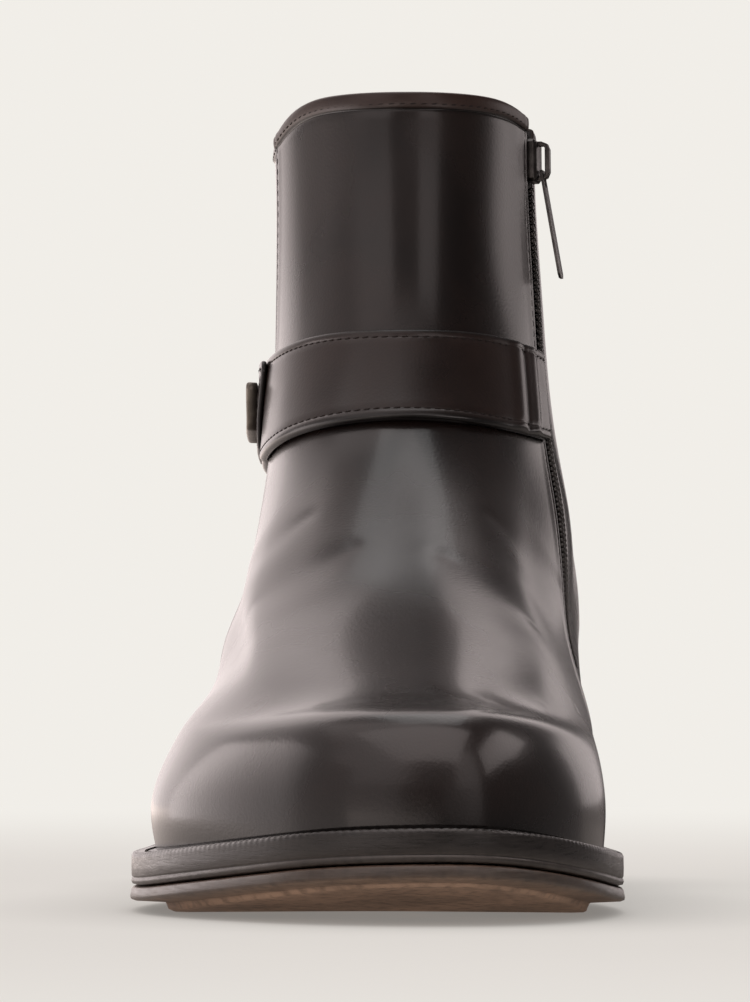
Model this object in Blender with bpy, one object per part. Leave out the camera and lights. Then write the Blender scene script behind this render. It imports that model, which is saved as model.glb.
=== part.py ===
"""Zip ankle boot for the right foot with a buckled ankle strap.

Toe points along -Y, the zip side (inner side of the foot) is +X, up is +Z, the floor is Z = 0.
Sizes are in millimetres; t runs from the heel's back edge towards the toe.
"""

import math

import bmesh
import bpy
import numpy as np

MM = 0.001
MID_T = 152.19
MID_X = -2.01

# Gaps and walls
GAP = 0.3
WALL = 3.0
PANEL_STEP = 0.8
ZIP_FLOOR = 1.9
BINDING_RISE = 0.4
BINDING_DEPTH = 3.2
RIM_ROUND = 0.7

# Zip recess
ZIP_HALF = 5.0
EDGE_RUN = 0.4
ZIP_END_S = 62.0
TAPE_HALF = 4.3
TAPE_END_GAP = 0.8
CHAIN_END_GAP = 4.0
TAPE_THICK = 0.6
CHAIN_HALF = 2.2
CHAIN_EDGE = 0.3
CHAIN_CREST = 0.8

# Zip slider, its bail, and the pull tab
SLIDER_Z = 170.8
SLIDER_HALF_WIDTH = 4.0
SLIDER_HALF_LENGTH = 5.0
SLIDER_UNDER = -0.6
SLIDER_TOP = 1.8
SLIDER_BEVEL = 0.7
BAIL_HALF_WIDTH = 1.1
BAIL_BAR = 1.1
BAIL_HALF_LENGTH = 4.6
BAIL_TOP = 4.4
BAIL_TURN = 1.9
BAIL_INNER_TURN = 0.4
PIVOT_ALONG = -2.7
PIVOT_OUT = 2.55
PULL_LENGTH = 26.0
PULL_HALF_TOP = 2.0
PULL_HALF_END = 2.1
PULL_THICK = 0.6
PULL_BAR_HALF = 0.5
WINDOW_HALF = 1.4
WINDOW_LENGTH = 3.6
WINDOW_CORNER = 0.05
PULL_CORNER = 0.5
PULL_NECK = 4.0
PULL_REST_DEG = 9.5

# Strap and buckle on the lateral side
STRAP_SEAT = 0.4
STRAP_EASE_FROM = 1.0
STRAP_EASE_RUN = 8.0
STRAP_THICK = 1.9
STRAP_BEVEL = 0.5
STRAP_SHARES = (0.0, 0.05, 0.35, 0.65, 0.95, 1.0)
STRAP_FRONT_END = -5.7
STRAP_BACK_END = 58.0
PLATE_MIDDLE_T = 74.5
PLATE_MIDDLE_Z = 111.4
PLATE_SLOPE = 0.12
PLATE_LENGTH = 30.0
PLATE_HEIGHT = 20.5
PLATE_THICK = 1.2
PLATE_CORNER = 3.0
FRAME_LENGTH = 22.0
FRAME_HEIGHT = 11.4
FRAME_CORNER = 2.0
FRAME_BAR = 2.4
FRAME_THICK = 2.6
FRAME_SOFT = 0.5
FRAME_HOLE_CORNER = 0.8
CORNER_STEPS = 2
BAR_STEPS = 5
PLATE_COLUMNS = 9
PRONG_HALF = 1.0
PRONG_THICK = 1.0

# Sole
WELT_THICK = 7.0
OUTSOLE_THICK = 3.0
INSOLE_THICK = 3.0
INSOLE_INSET = 4.4
EDGE_ROUND = 0.8
TREAD_INSET = 7.2
TREAD_RUN = 1.0
TREAD_FROM = 0.16
TREAD_TO = 0.93
CROWN_WIDTH = 11.0
SOLE_LIP = 0.3
INSOLE_FLARE = 0.6

# Heel
HEEL_BREAST_T = 74.0
BREAST_HOLLOW = 4.0
HEEL_TAPER = 2.4
BREAST_LEAN = 1.5
BREAST_STEPS = 8
LIFTS = 4
LIFT_GROOVE = 0.5
LIFT_GROOVE_HALF = 0.5

# Mesh density
FRONT_COLUMNS = 14
REAR_COLUMNS = 13
SOLE_HALF_COLUMNS = 30
HEEL_COLUMNS = 26
ROW_PARTS = (1, 2, 2, 2, 2, 2, 4, 4, 3, 2)

# Rings of the upper's outer face, from the sole's edge to the collar. front/back: the ring's ends on
# the centre ridge and on the heel line (t, z). x_front/x_back: sideways place of those ends.
# sole: how far the ring follows the sole's profile. dip: how far its outer side hangs below its ends.
# blunt: how much of the tip station's reach the ring has at the bend in front of it.
# l_* and m_*: outer (lateral) and inner (medial) x at the stations below.
LINE_COLUMNS = "front_t front_z back_t back_z x_front x_back sole dip blunt".split()
RING_LINES = np.array(
    [
        (296, 20.4, 8, 35.6, 14.7, 0, 1, 0, 0.64),
        (294.9, 32.6, 5.5, 41.5, 14.2, 0, 1, 0, 0.64),
        (288, 43.9, 3.6, 48.5, 13, 0, 0.95, 0, 0.63),
        (274.5, 48.3, 2.8, 56.5, 11.2, 0, 0.95, 0, 0.62),
        (250, 53.6, 2.8, 66.5, 8, 0, 0.55, 0, 0.6),
        (204, 67.7, 3.6, 79, 4.4, 0, 0.2, 0, 0.6),
        (169, 84.9, 5.2, 95, 2, 0, 0.05, 0, 0.6),
        (137.5, 108, 7.6, 115, 1, 0, 0, 0, 0.6),
        (119, 137, 10, 140, 0.8, -0.4, 0, 1, 0.6),
        (111.6, 166, 11.6, 166, 0.8, -0.8, 0, 4.6, 0.6),
        (110, 184, 12, 182, 0.8, -1, 0, 9.5, 0.6),
    ]
)
SIDE_COLUMNS = "l_tip l_ball l_waist l_ankle l_heel m_tip m_ball m_waist m_ankle m_heel".split()
RING_SIDES = np.array(
    [
        (-20.5, -44.8, -48.8, -38.6, -34, 36, 46.2, 42.8, 29.5, 33),
        (-21, -46.5, -49, -39.6, -35.6, 36.4, 46.5, 44, 32.4, 34.6),
        (-20, -43.3, -46.2, -39.4, -36.2, 34, 44.1, 44, 36, 35.6),
        (-20.6, -42.2, -41.5, -38.4, -35.8, 31.4, 40.9, 43.5, 39.6, 35.6),
        (-23, -34.7, -39.6, -36.8, -34.4, 28.6, 37, 39.9, 40.6, 34.8),
        (-22.4, -33.3, -35.1, -35.2, -32.2, 24.4, 31.6, 38.1, 39.6, 33),
        (-19.4, -29.5, -33.1, -33.6, -29.4, 20, 29, 37.1, 37.2, 29.8),
        (-16.4, -26.9, -31.7, -32.4, -25.4, 17.2, 27.3, 33, 34, 26),
        (-14.8, -25.2, -31.8, -31.8, -22.6, 15.4, 25, 31, 31.2, 22.6),
        (-14.4, -25, -32, -31.8, -21.6, 14.6, 23.8, 29.4, 29.2, 20.4),
        (-14.4, -25.2, -32.4, -32, -21.4, 14.6, 23.8, 29.2, 28.8, 19.8),
    ]
)
STATIONS = np.array((0.06, 0.20, 0.40, 0.65, 0.90))
DIP_POWER = 8
DIP_MEDIAL = 0.57
BEND_STATION = 0.02

# Sole profile along the foot: top face of the welt, and how far the underside's middle hangs below its rim.
PROFILE_T = np.array((-6.0, 20.0, 48.0, 74.0, 100.0, 126.0, 150.0, 176.0, 205.0, 235.0, 260.0, 282.0, 306.0))
PROFILE_TOP = np.array((36.0, 35.2, 34.0, 31.6, 27.0, 20.9, 15.8, 13.0, 12.5, 13.0, 14.9, 17.4, 20.8))
CROWN_T = np.array((-6.0, 78.0, 110.0, 150.0, 170.0, 190.0, 220.0, 250.0, 285.0, 306.0))
CROWN_DROP = np.array((0.0, 0.0, 0.7, 2.3, 3.1, 2.7, 2.6, 1.7, 1.0, 0.6))

# How far the welt reaches past the upper, by fraction of the way from toe to heel.
REACH_C = np.array((0.0, 0.3, 0.55, 0.75, 1.0))
REACH_LATERAL = np.array((4.6, 5.4, 4.2, 2.6, 2.4))
REACH_MEDIAL = np.array((4.6, 4.2, 3.8, 2.6, 2.4))

# The side seam and the zip run along one line: fraction of the way back along each ring.
SEAM_S = np.array((0.0, 40.0, 70.0, 109.0, 149.0, 187.0, 220.0, 268.0))
SEAM_C = np.array((0.445, 0.42, 0.405, 0.38, 0.362, 0.36, 0.366, 0.368))

# Ankle strap: heights of its edges by angle round the shaft (0 is the front, 180 the back).
STRAP_ANGLE = np.array((-75.0, -35.0, 0.0, 40.0, 75.0, 130.0, 180.0, 235.0))
STRAP_LOW = np.array((103.6, 106.0, 107.4, 104.6, 99.8, 96.0, 95.0, 97.0))
STRAP_HIGH = np.array((123.8, 127.6, 128.2, 127.2, 123.4, 119.0, 117.4, 119.4))

# Surface colour, roughness and metalness by piece
LOOKS = {
    "upper": ((0.030, 0.016, 0.012, 1.0), 0.28, 0.0),
    "insole": ((0.25, 0.17, 0.11, 1.0), 0.7, 0.0),
    "welt": ((0.045, 0.034, 0.028, 1.0), 0.5, 0.0),
    "outsole": ((0.11, 0.072, 0.048, 1.0), 0.55, 0.0),
    "heel": ((0.040, 0.028, 0.022, 1.0), 0.45, 0.0),
    "zip_tape": ((0.012, 0.011, 0.011, 1.0), 0.8, 0.0),
    "zip_chain": ((0.055, 0.052, 0.050, 1.0), 0.35, 1.0),
    "zip_slider": ((0.070, 0.066, 0.062, 1.0), 0.3, 1.0),
    "zip_pull": ((0.070, 0.066, 0.062, 1.0), 0.3, 1.0),
    "strap": ((0.040, 0.019, 0.014, 1.0), 0.3, 0.0),
    "buckle_plate": ((0.026, 0.015, 0.012, 1.0), 0.35, 0.0),
    "buckle_frame": ((0.22, 0.20, 0.17, 1.0), 0.35, 1.0),
    "buckle_prong": ((0.22, 0.20, 0.17, 1.0), 0.35, 1.0),
}


def bend(xs, ys):
    """Second derivatives of the natural cubic through the points."""
    n, h = len(xs), np.diff(xs)
    system, right = np.eye(n), np.zeros_like(ys, dtype=float)
    for i in range(1, n - 1):
        system[i, i - 1 : i + 2] = h[i - 1], 2 * (h[i - 1] + h[i]), h[i]
        right[i] = 6 * ((ys[i + 1] - ys[i]) / h[i] - (ys[i] - ys[i - 1]) / h[i - 1])
    return np.linalg.solve(system, right)


def curve(xs, ys, at):
    """Values of the natural cubic through the points, held straight past its ends."""
    ys = np.asarray(ys, float)
    m, at = bend(xs, ys), np.clip(np.asarray(at, float), xs[0], xs[-1])
    i = np.clip(np.searchsorted(xs, at) - 1, 0, len(xs) - 2)
    h = xs[i + 1] - xs[i]
    a, b = (xs[i + 1] - at) / h, (at - xs[i]) / h
    k = (...,) + (None,) * (ys.ndim - 1)
    return a[k] * ys[i] + b[k] * ys[i + 1] + ((a**3 - a)[k] * m[i] + (b**3 - b)[k] * m[i + 1]) * (h**2)[k] / 6


def line(name):
    return RING_LINES[:, LINE_COLUMNS.index(name)]


RING_S = np.append(0.0, np.cumsum(np.hypot(np.diff(line("front_t")), np.diff(line("front_z")))))
TOP_S = RING_S[-1]
LATERAL, MEDIAL = RING_SIDES[:, :5].T, RING_SIDES[:, 5:].T
TOE_BEND = [line("x_front") + line("blunt") * (side[0] - line("x_front")) for side in (LATERAL, MEDIAL)]
STATION_ANGLE = np.arccos(1 - 2 * np.concatenate(([BEND_STATION], STATIONS)))
LOOP_ANGLE = np.concatenate(([0.0], STATION_ANGLE, [math.pi], 2 * math.pi - STATION_ANGLE[::-1]))
LOOP_X = np.stack(
    [line("x_front"), TOE_BEND[0], *LATERAL, line("x_back"), *reversed(MEDIAL), TOE_BEND[1]], axis=1
)


def loop_weights():
    """Values and second derivatives of the closed cubic that is 1 at one loop station and 0 at the others."""
    n = len(LOOP_ANGLE)
    h = np.diff(np.append(LOOP_ANGLE, 2 * math.pi))
    system, right = np.zeros((n, n)), np.zeros((n, n))
    for i in range(n):
        before, after = (i - 1) % n, (i + 1) % n
        system[i, before] += h[before]
        system[i, i] += 2 * (h[before] + h[i])
        system[i, after] += h[i]
        right[i, after] += 6 / h[i]
        right[i, i] -= 6 / h[i] + 6 / h[before]
        right[i, before] += 6 / h[before]
    return h, np.linalg.solve(system, right)


LOOP_STEP, LOOP_BEND = loop_weights()


def loop_value(controls, angle):
    """Closed cubic through each row of station values, at that row's angle."""
    n, angle = len(LOOP_ANGLE), np.mod(angle, 2 * math.pi)
    i = np.clip(np.searchsorted(LOOP_ANGLE, angle, side="right") - 1, 0, n - 1)
    j, h = (i + 1) % n, LOOP_STEP[i]
    b = (angle - LOOP_ANGLE[i]) / h
    a = 1 - b
    bends = controls @ LOOP_BEND.T
    take = lambda rows, k: np.take_along_axis(rows, k[..., None], -1)[..., 0]
    return (
        a * take(controls, i)
        + b * take(controls, j)
        + ((a**3 - a) * take(bends, i) + (b**3 - b) * take(bends, j)) * h**2 / 6
    )


def sole_top(t):
    return curve(PROFILE_T, PROFILE_TOP, t)


def shell(s, angle):
    """Outer face of the upper as (x, t, z). Angle 0 is the front ridge, pi the heel line."""
    s, angle = np.broadcast_arrays(np.asarray(s, float), np.asarray(angle, float))
    rows = curve(RING_S, RING_LINES[:, :8], s)
    front_t, front_z, back_t, back_z, _, _, follow, dip = np.moveaxis(rows, -1, 0)
    c = (1 - np.cos(angle)) / 2
    t = front_t + (back_t - front_t) * c
    straight = RING_LINES[0, 1] + (RING_LINES[0, 3] - RING_LINES[0, 1]) * c
    hang = dip * np.where(np.sin(angle) < 0, DIP_MEDIAL, 1.0) * np.sin(angle) ** DIP_POWER
    z = front_z + (back_z - front_z) * c + follow * (sole_top(t) + GAP - straight) - hang
    x = loop_value(curve(RING_S, LOOP_X, s), angle)
    return np.stack((x, t, z), axis=-1)


def shell_normal(s, angle):
    """Outward unit normal of the outer face."""
    ds, da = 0.05, 1e-3
    low, high = np.clip(s - ds, 0, TOP_S), np.clip(s + ds, 0, TOP_S)
    up = shell(high, angle) - shell(low, angle)
    around = shell(s, angle + da) - shell(s, angle - da)
    n = np.cross(around, up)
    return n / np.linalg.norm(n, axis=-1, keepdims=True)


def skin(s, angle, out):
    """Point of the upper's face pushed out (or in, below 0) along its normal."""
    s, angle = np.broadcast_arrays(np.asarray(s, float), np.asarray(angle, float))
    return shell(s, angle) + shell_normal(s, angle) * np.asarray(out, float)[..., None]


def ring_length(s):
    rows = curve(RING_S, RING_LINES[:, :4], s)
    return np.hypot(rows[..., 0] - rows[..., 2], rows[..., 1] - rows[..., 3])


def seam_angle(s, back_mm):
    """Angle on the lateral side of a line that runs back_mm behind the side seam."""
    c = curve(SEAM_S, SEAM_C, s) + back_mm / ring_length(s)
    return np.arccos(1 - 2 * c)


def world(points):
    """(x, t, z) in millimetres to the part's frame in metres."""
    x, t, z = np.moveaxis(np.asarray(points, float), -1, 0)
    return np.stack((x - MID_X, MID_T - t, z), axis=-1) * MM


def make(name, points, faces, look=None, origin=(MID_X, MID_T, 0.0)):
    """One named object with its own surface, from points and origin in (x, t, z) millimetres."""
    mesh = bpy.data.meshes.new(name)
    place = world(origin)
    mesh.from_pydata((world(points) - place).tolist(), [], [list(map(int, f)) for f in faces])
    form = bmesh.new()
    form.from_mesh(mesh)
    bmesh.ops.recalc_face_normals(form, faces=form.faces)
    form.to_mesh(mesh)
    form.free()
    colour, rough, metal = LOOKS[look or name]
    material = bpy.data.materials.new(name)
    material.use_nodes = True
    surface = material.node_tree.nodes["Principled BSDF"]
    surface.inputs["Base Color"].default_value = colour
    surface.inputs["Roughness"].default_value = rough
    surface.inputs["Metallic"].default_value = metal
    mesh.materials.append(material)
    obj = bpy.data.objects.new(name, mesh)
    obj.location = place.tolist()
    bpy.context.scene.collection.objects.link(obj)
    return obj


def sleeve(rings, closed):
    """Points and faces of a skin through equal rings; closed joins the last ring to the first."""
    rows, columns = len(rings), len(rings[0])
    faces = []
    for i in range(rows if closed else rows - 1):
        for j in range(columns):
            k, n = (i + 1) % rows, (j + 1) % columns
            faces.append((i * columns + j, k * columns + j, k * columns + n, i * columns + n))
    return np.concatenate(rings), faces


def capped(rings):
    """Skin through rings whose point j faces point -j across the middle, closed by strips at both ends."""
    points, faces = sleeve(rings, False)
    columns = len(rings[0])
    for row, flip in ((0, False), (len(rings) - 1, True)):
        ids = [row * columns + j for j in range(columns)]
        for j in range(columns // 2):
            strip = [ids[j], ids[j + 1], ids[-j - 1], ids[-j % columns]]
            strip = list(dict.fromkeys(strip))
            faces.append(strip[::-1] if flip else strip)
    return points, faces


def upper_columns(s):
    """Angles of one ring's columns and, for each, the outer face's offset there."""
    edge = math.pi * 2
    seam, seam_low = seam_angle(s, 0.0), seam_angle(s, EDGE_RUN)
    zips = [seam_angle(s, d) for d in (-ZIP_HALF, EDGE_RUN - ZIP_HALF, ZIP_HALF - EDGE_RUN, ZIP_HALF)]
    share = lambda a, b, n: [a + (b - a) * k / n for k in range(n)]
    rear = -PANEL_STEP
    floor = -ZIP_FLOOR if s > ZIP_END_S else rear
    angles = share(0.0, seam, FRONT_COLUMNS) + [seam]
    offsets = [0.0] * (FRONT_COLUMNS + 1)
    behind = share(seam_low, math.pi, REAR_COLUMNS)
    angles += behind + share(math.pi, edge - zips[3], REAR_COLUMNS) + [edge - z for z in zips[::-1]]
    offsets += [rear] * (2 * REAR_COLUMNS + 1) + [floor] * 2 + [0.0]
    angles += share(edge - zips[0], edge, FRONT_COLUMNS)[1:]
    offsets += [0.0] * (FRONT_COLUMNS - 1)
    return np.array(angles), np.array(offsets)


def upper_rows():
    """Heights of the upper's rows along the front ridge."""
    rows = []
    for low, high, parts in zip(RING_S[:-1], RING_S[1:], ROW_PARTS):
        rows += [low + (high - low) * k / parts for k in range(parts)]
    bind = TOP_S - BINDING_DEPTH
    rows = [r for r in rows if r < bind - 3 and abs(r - ZIP_END_S) > 4]
    return sorted(rows + [ZIP_END_S, ZIP_END_S + EDGE_RUN, bind - EDGE_RUN, bind, TOP_S])


def build_upper():
    outer, inner = [], []
    rows = upper_rows()
    for s in rows:
        angles, offsets = upper_columns(s)
        if s >= TOP_S - BINDING_DEPTH:
            offsets = np.where(offsets > -ZIP_FLOOR, offsets + BINDING_RISE, offsets)
        outer.append(skin(s, angles, offsets))
        inner.append(skin(s, angles, np.full(len(angles), -WALL)))
    soft = skin(TOP_S, angles, np.maximum(offsets - RIM_ROUND, -ZIP_FLOOR)) + np.array((0, 0, RIM_ROUND))
    soft_in = skin(TOP_S, angles, np.full(len(angles), RIM_ROUND - WALL)) + np.array((0, 0, RIM_ROUND))
    for ring in (outer[0], inner[0]):
        ring[:, 2] = sole_top(ring[:, 1]) + GAP
    return make("upper", *sleeve(outer + [soft, soft_in] + inner[::-1], True))


def sole_angles(half):
    return np.linspace(0, 2 * math.pi, 2 * half, endpoint=False)


def plan(angle, grow):
    """Sole-edge line in plan, pushed outwards: (x, t)."""
    here = shell(0.0, angle)
    step = shell(0.0, angle + 1e-3) - shell(0.0, angle - 1e-3)
    out = np.stack((step[..., 1], -step[..., 0]), axis=-1)
    out /= np.linalg.norm(out, axis=-1, keepdims=True)
    return here[..., :2] + out * np.asarray(grow, float)[..., None]


def reach(angle):
    c = (1 - np.cos(angle)) / 2
    side = (1 + np.sin(angle)) / 2
    return curve(REACH_C, REACH_LATERAL, c) * side + curve(REACH_C, REACH_MEDIAL, c) * (1 - side)


def ring_at(angle, grow, height):
    """Ring of the sole: its line in plan, with height(t) on top."""
    flat = plan(angle, grow)
    return np.concatenate((flat, height(flat[:, 1])[:, None]), axis=1)


def rim_under(t):
    return sole_top(t) - WELT_THICK - GAP - OUTSOLE_THICK


def build_welt():
    angle = sole_angles(SOLE_HALF_COLUMNS)
    w = reach(angle)
    under = lambda drop: (lambda t: sole_top(t) - drop)
    rings = [
        ring_at(angle, np.full(len(angle), -WALL / 2), under(0.0)),
        ring_at(angle, w - EDGE_ROUND, under(0.0)),
        ring_at(angle, w, under(EDGE_ROUND)),
        ring_at(angle, w, under(WELT_THICK - EDGE_ROUND)),
        ring_at(angle, w - EDGE_ROUND, under(WELT_THICK)),
    ]
    return make("welt", *capped(rings))


def build_outsole():
    angle = sole_angles(SOLE_HALF_COLUMNS)
    w = reach(angle)
    top = lambda t: sole_top(t) - WELT_THICK - GAP
    low = lambda share: (lambda t: underside(t, share))
    rings = [
        ring_at(angle, w - EDGE_ROUND, top),
        ring_at(angle, w, lambda t: top(t) - EDGE_ROUND),
        ring_at(angle, w + SOLE_LIP, low(0.0)),
        ring_at(angle, w - TREAD_INSET, low(TREAD_FROM)),
        ring_at(angle, w - TREAD_INSET - TREAD_RUN, low(TREAD_TO)),
        ring_at(angle, w - CROWN_WIDTH, low(1.0)),
    ]
    return make("outsole", *capped(rings))


def underside(t, share):
    """Height of the outsole's underside, from its rim (share 0) to its middle (share 1)."""
    rim = rim_under(t)
    middle = np.maximum(rim - curve(CROWN_T, CROWN_DROP, t), 0.0)
    return rim + (middle - rim) * share


def heel_ring(grow, height, breast):
    """D-shaped heel line: the sole's edge behind the breast, then the hollow breast line."""
    fine = np.linspace(0, 2 * math.pi, 721)
    edge = plan(fine, reach(fine) + grow)
    back = edge[edge[:, 1] < breast]
    run = np.concatenate(([0], np.cumsum(np.linalg.norm(np.diff(back, axis=0), axis=1))))
    even = np.linspace(0, run[-1], HEEL_COLUMNS)
    side = np.stack([np.interp(even, run, back[:, k]) for k in (0, 1)], axis=1)
    share = np.linspace(0, 1, BREAST_STEPS + 1)[1:-1, None]
    front = side[-1] + (side[0] - side[-1]) * share
    front[:, 1] -= BREAST_HOLLOW * 4 * share[:, 0] * (1 - share[:, 0])
    flat = np.concatenate((side, front))
    return np.concatenate((flat, height(flat[:, 1])[:, None]), axis=1)


def build_heel():
    top = lambda t: rim_under(t) - GAP
    rings = []
    for k in range(LIFTS + 1):
        share = k / LIFTS
        at = lambda mm, f: (lambda t: np.maximum(top(t) * (1 - f) + mm, 0.0))
        grow, breast = -HEEL_TAPER * share, HEEL_BREAST_T - BREAST_LEAN * share
        if k == 0:
            rings.append(heel_ring(grow, at(0.0, 0.0), breast))
        elif k == LIFTS:
            rings.append(heel_ring(grow, at(EDGE_ROUND, 1.0), breast))
            rings.append(heel_ring(grow - EDGE_ROUND, at(0.0, 1.0), breast - EDGE_ROUND))
        else:
            rings.append(heel_ring(grow, at(LIFT_GROOVE_HALF, share), breast))
            rings.append(heel_ring(grow - LIFT_GROOVE, at(0.0, share), breast))
            rings.append(heel_ring(grow, at(-LIFT_GROOVE_HALF, share), breast))
    points, faces = sleeve(rings, False)
    n = len(rings[0])
    faces.append(list(range(n)))
    faces.append([len(points) - 1 - k for k in range(n)])
    return make("heel", points, faces)


def build_insole():
    angle = sole_angles(SOLE_HALF_COLUMNS)
    inset = np.full(len(angle), -INSOLE_INSET)
    lift = lambda mm: (lambda t: sole_top(t) + GAP + mm)
    rings = [ring_at(angle, inset, lift(INSOLE_THICK)), ring_at(angle, inset + INSOLE_FLARE, lift(0.0))]
    return make("insole", *capped(rings))


def slab(low, high):
    """Closed solid between two grids of points with the same rows and columns."""
    rows, columns = low.shape[:2]
    at = lambda i, j, top: (top * rows + i) * columns + j
    faces = []
    for i in range(rows - 1):
        for j in range(columns - 1):
            for top in (0, 1):
                faces.append([at(i, j, top), at(i + 1, j, top), at(i + 1, j + 1, top), at(i, j + 1, top)])
    rim = [(0, j) for j in range(columns)] + [(i, columns - 1) for i in range(1, rows)]
    rim += [(rows - 1, j) for j in range(columns - 2, -1, -1)] + [(i, 0) for i in range(rows - 2, 0, -1)]
    for here, after in zip(rim, rim[1:] + rim[:1]):
        faces.append([at(*here, 0), at(*after, 0), at(*after, 1), at(*here, 1)])
    return np.concatenate((low.reshape(-1, 3), high.reshape(-1, 3))), faces


def level(angle, z):
    """Row of the upper whose outer face is at height z at these angles."""
    angle, z = np.broadcast_arrays(np.asarray(angle, float), np.asarray(z, float))
    s = np.full(angle.shape, RING_S[7])
    for _ in range(12):
        here = shell(s, angle)[..., 2]
        slope = shell(s + 0.5, angle)[..., 2] - shell(s - 0.5, angle)[..., 2]
        s = np.clip(s + (z - here) / np.maximum(slope, 0.2), 1.0, TOP_S - 1.0)
    return s


def zip_row(z):
    """Row at which the zip's line is at height z."""
    s = RING_S[7]
    for _ in range(6):
        s = level(2 * math.pi - seam_angle(s, 0.0), z)
    return float(s)


def zip_rows(low, high):
    """The upper's rows between two heights along the ridge, with those heights as ends."""
    return np.array([low] + [r for r in upper_rows() if low + 2 < r < high - 2] + [high])


def build_zip_tape():
    rows = zip_rows(ZIP_END_S + EDGE_RUN + TAPE_END_GAP, TOP_S - TAPE_END_GAP)
    grid = [2 * math.pi - np.array([seam_angle(s, d) for d in (-TAPE_HALF, TAPE_HALF)]) for s in rows]
    under = GAP - ZIP_FLOOR
    face = lambda out: skin(rows[:, None], np.array(grid), np.full((len(rows), 2), out))
    return make("zip_tape", *slab(face(under), face(under + TAPE_THICK)))


def slider_axes():
    """Middle of the zip slider on the outer face, and its backward, upward and outward directions."""
    row = zip_row(SLIDER_Z)
    angle = 2 * math.pi - seam_angle(row, 0.0)
    here, out = shell(row, angle), shell_normal(row, angle)
    up = shell(row + 1.0, 2 * math.pi - seam_angle(row + 1.0, 0.0)) - here
    up -= out * (up @ out)
    up /= np.linalg.norm(up)
    return here, np.cross(up, out), up, out


def at_slider(points):
    """Points given as (backwards, upwards, outwards) from the slider's middle."""
    here, across, up, out = slider_axes()
    points = np.asarray(points, float)
    return here + points[..., 0:1] * across + points[..., 1:2] * up + points[..., 2:3] * out


def build_zip_chain():
    end = zip_row(SLIDER_Z - SLIDER_HALF_LENGTH - 2 * GAP)
    rows = zip_rows(ZIP_END_S + CHAIN_END_GAP, end)
    places = (-CHAIN_HALF, 0.0, CHAIN_HALF)
    grid = np.array([[2 * math.pi - seam_angle(s, d) for d in places] for s in rows])
    low = np.full(grid.shape, 2 * GAP + TAPE_THICK - ZIP_FLOOR)
    high = np.full(grid.shape, CHAIN_EDGE)
    high[:, 1] = CHAIN_CREST
    return make("zip_chain", *slab(skin(rows[:, None], grid, low), skin(rows[:, None], grid, high)))


def build_zip_slider():
    half, long, bevel = SLIDER_HALF_WIDTH, SLIDER_HALF_LENGTH, SLIDER_BEVEL
    outline = lambda inset: [
        (half - inset, -long + bevel), (half - inset, long - bevel), (half - bevel - inset, long - inset),
        (bevel - half + inset, long - inset), (inset - half, long - bevel), (inset - half, bevel - long),
        (bevel - half + inset, inset - long), (half - bevel - inset, inset - long),
    ]
    ring = lambda inset, height: at_slider([(a, b, height) for a, b in outline(inset)])
    rings = [ring(0.0, SLIDER_UNDER), ring(0.0, SLIDER_TOP - bevel), ring(bevel, SLIDER_TOP)]
    points, faces = sleeve(rings, False)
    faces += [list(range(8)), list(range(23, 15, -1))]
    body = make("zip_slider", points, faces)
    long, low = BAIL_HALF_LENGTH, SLIDER_TOP - bevel
    turn, bar = BAIL_TURN, BAIL_BAR
    shoulder = turn * (1 - math.cos(math.pi / 4))
    arch = [(-long, low), (-long, BAIL_TOP - turn), (shoulder - long, BAIL_TOP - shoulder)]
    arch.append((turn - long, BAIL_TOP))
    arch += [(-b, c) for b, c in arch[::-1]]
    soft = BAIL_INNER_TURN
    inner = [(bar - long, low), (bar - long, BAIL_TOP - bar - soft), (bar + soft - long, BAIL_TOP - bar)]
    arch += [(-b, c) for b, c in inner] + inner[::-1]
    sides = [at_slider([(a, b, c) for b, c in arch]) for a in (-BAIL_HALF_WIDTH, BAIL_HALF_WIDTH)]
    points, faces = sleeve(sides, False)
    n = len(arch)
    faces += [list(range(n)), list(range(2 * n - 1, n - 1, -1))]
    bail = make("zip_bail", points, faces, "zip_slider")
    bail.hide_render, bail.display_type = True, "WIRE"
    joined = body.modifiers.new("bail", "BOOLEAN")
    joined.operation, joined.solver, joined.object = "UNION", "EXACT", bail
    return body


def build_zip_pull():
    pivot = at_slider((0.0, PIVOT_ALONG, PIVOT_OUT))
    _, across, up, out = slider_axes()
    lean = math.radians(PULL_REST_DEG)
    down = out * math.sin(lean) - up * math.cos(lean)
    thick = np.cross(across, down)
    end, bar = PULL_LENGTH - PULL_BAR_HALF, PULL_BAR_HALF
    edge = lambda h, w, far, cut: [
        (-w, -h + cut), (-w + cut, -h), (0, -h), (w - cut, -h), (w, -h + cut),
        (w, far * 0.5), (w, far - 2 * cut), (w - 1.6 * cut, far), (0, far), (1.6 * cut - w, far),
        (-w, far - 2 * cut), (-w, far * 0.5),
    ]
    flare = lambda b: 1 if b < PULL_NECK else PULL_HALF_END / PULL_HALF_TOP
    outer = [(a * flare(b), b) for a, b in edge(bar, PULL_HALF_TOP, end, PULL_CORNER)]
    inner = edge(-bar, WINDOW_HALF, WINDOW_LENGTH, WINDOW_CORNER)
    half = PULL_THICK / 2
    place = lambda loop, c: np.array([pivot + a * across + b * down + c * thick for a, b in loop])
    rings = [place(outer, half), place(outer, -half), place(inner, -half), place(inner, half)]
    return make("zip_pull", *sleeve(rings, True), origin=pivot)


def strap_base(s, angle):
    """The strap's underside off the front panel's face; behind the seam it drops to the quarter."""
    past = (angle - seam_angle(s, 0.0)) * ring_length(s) / 2
    ease = np.clip((past - STRAP_EASE_FROM) / STRAP_EASE_RUN, 0, 1)
    return STRAP_SEAT - PANEL_STEP * ease * ease * (3 - 2 * ease)


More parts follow.
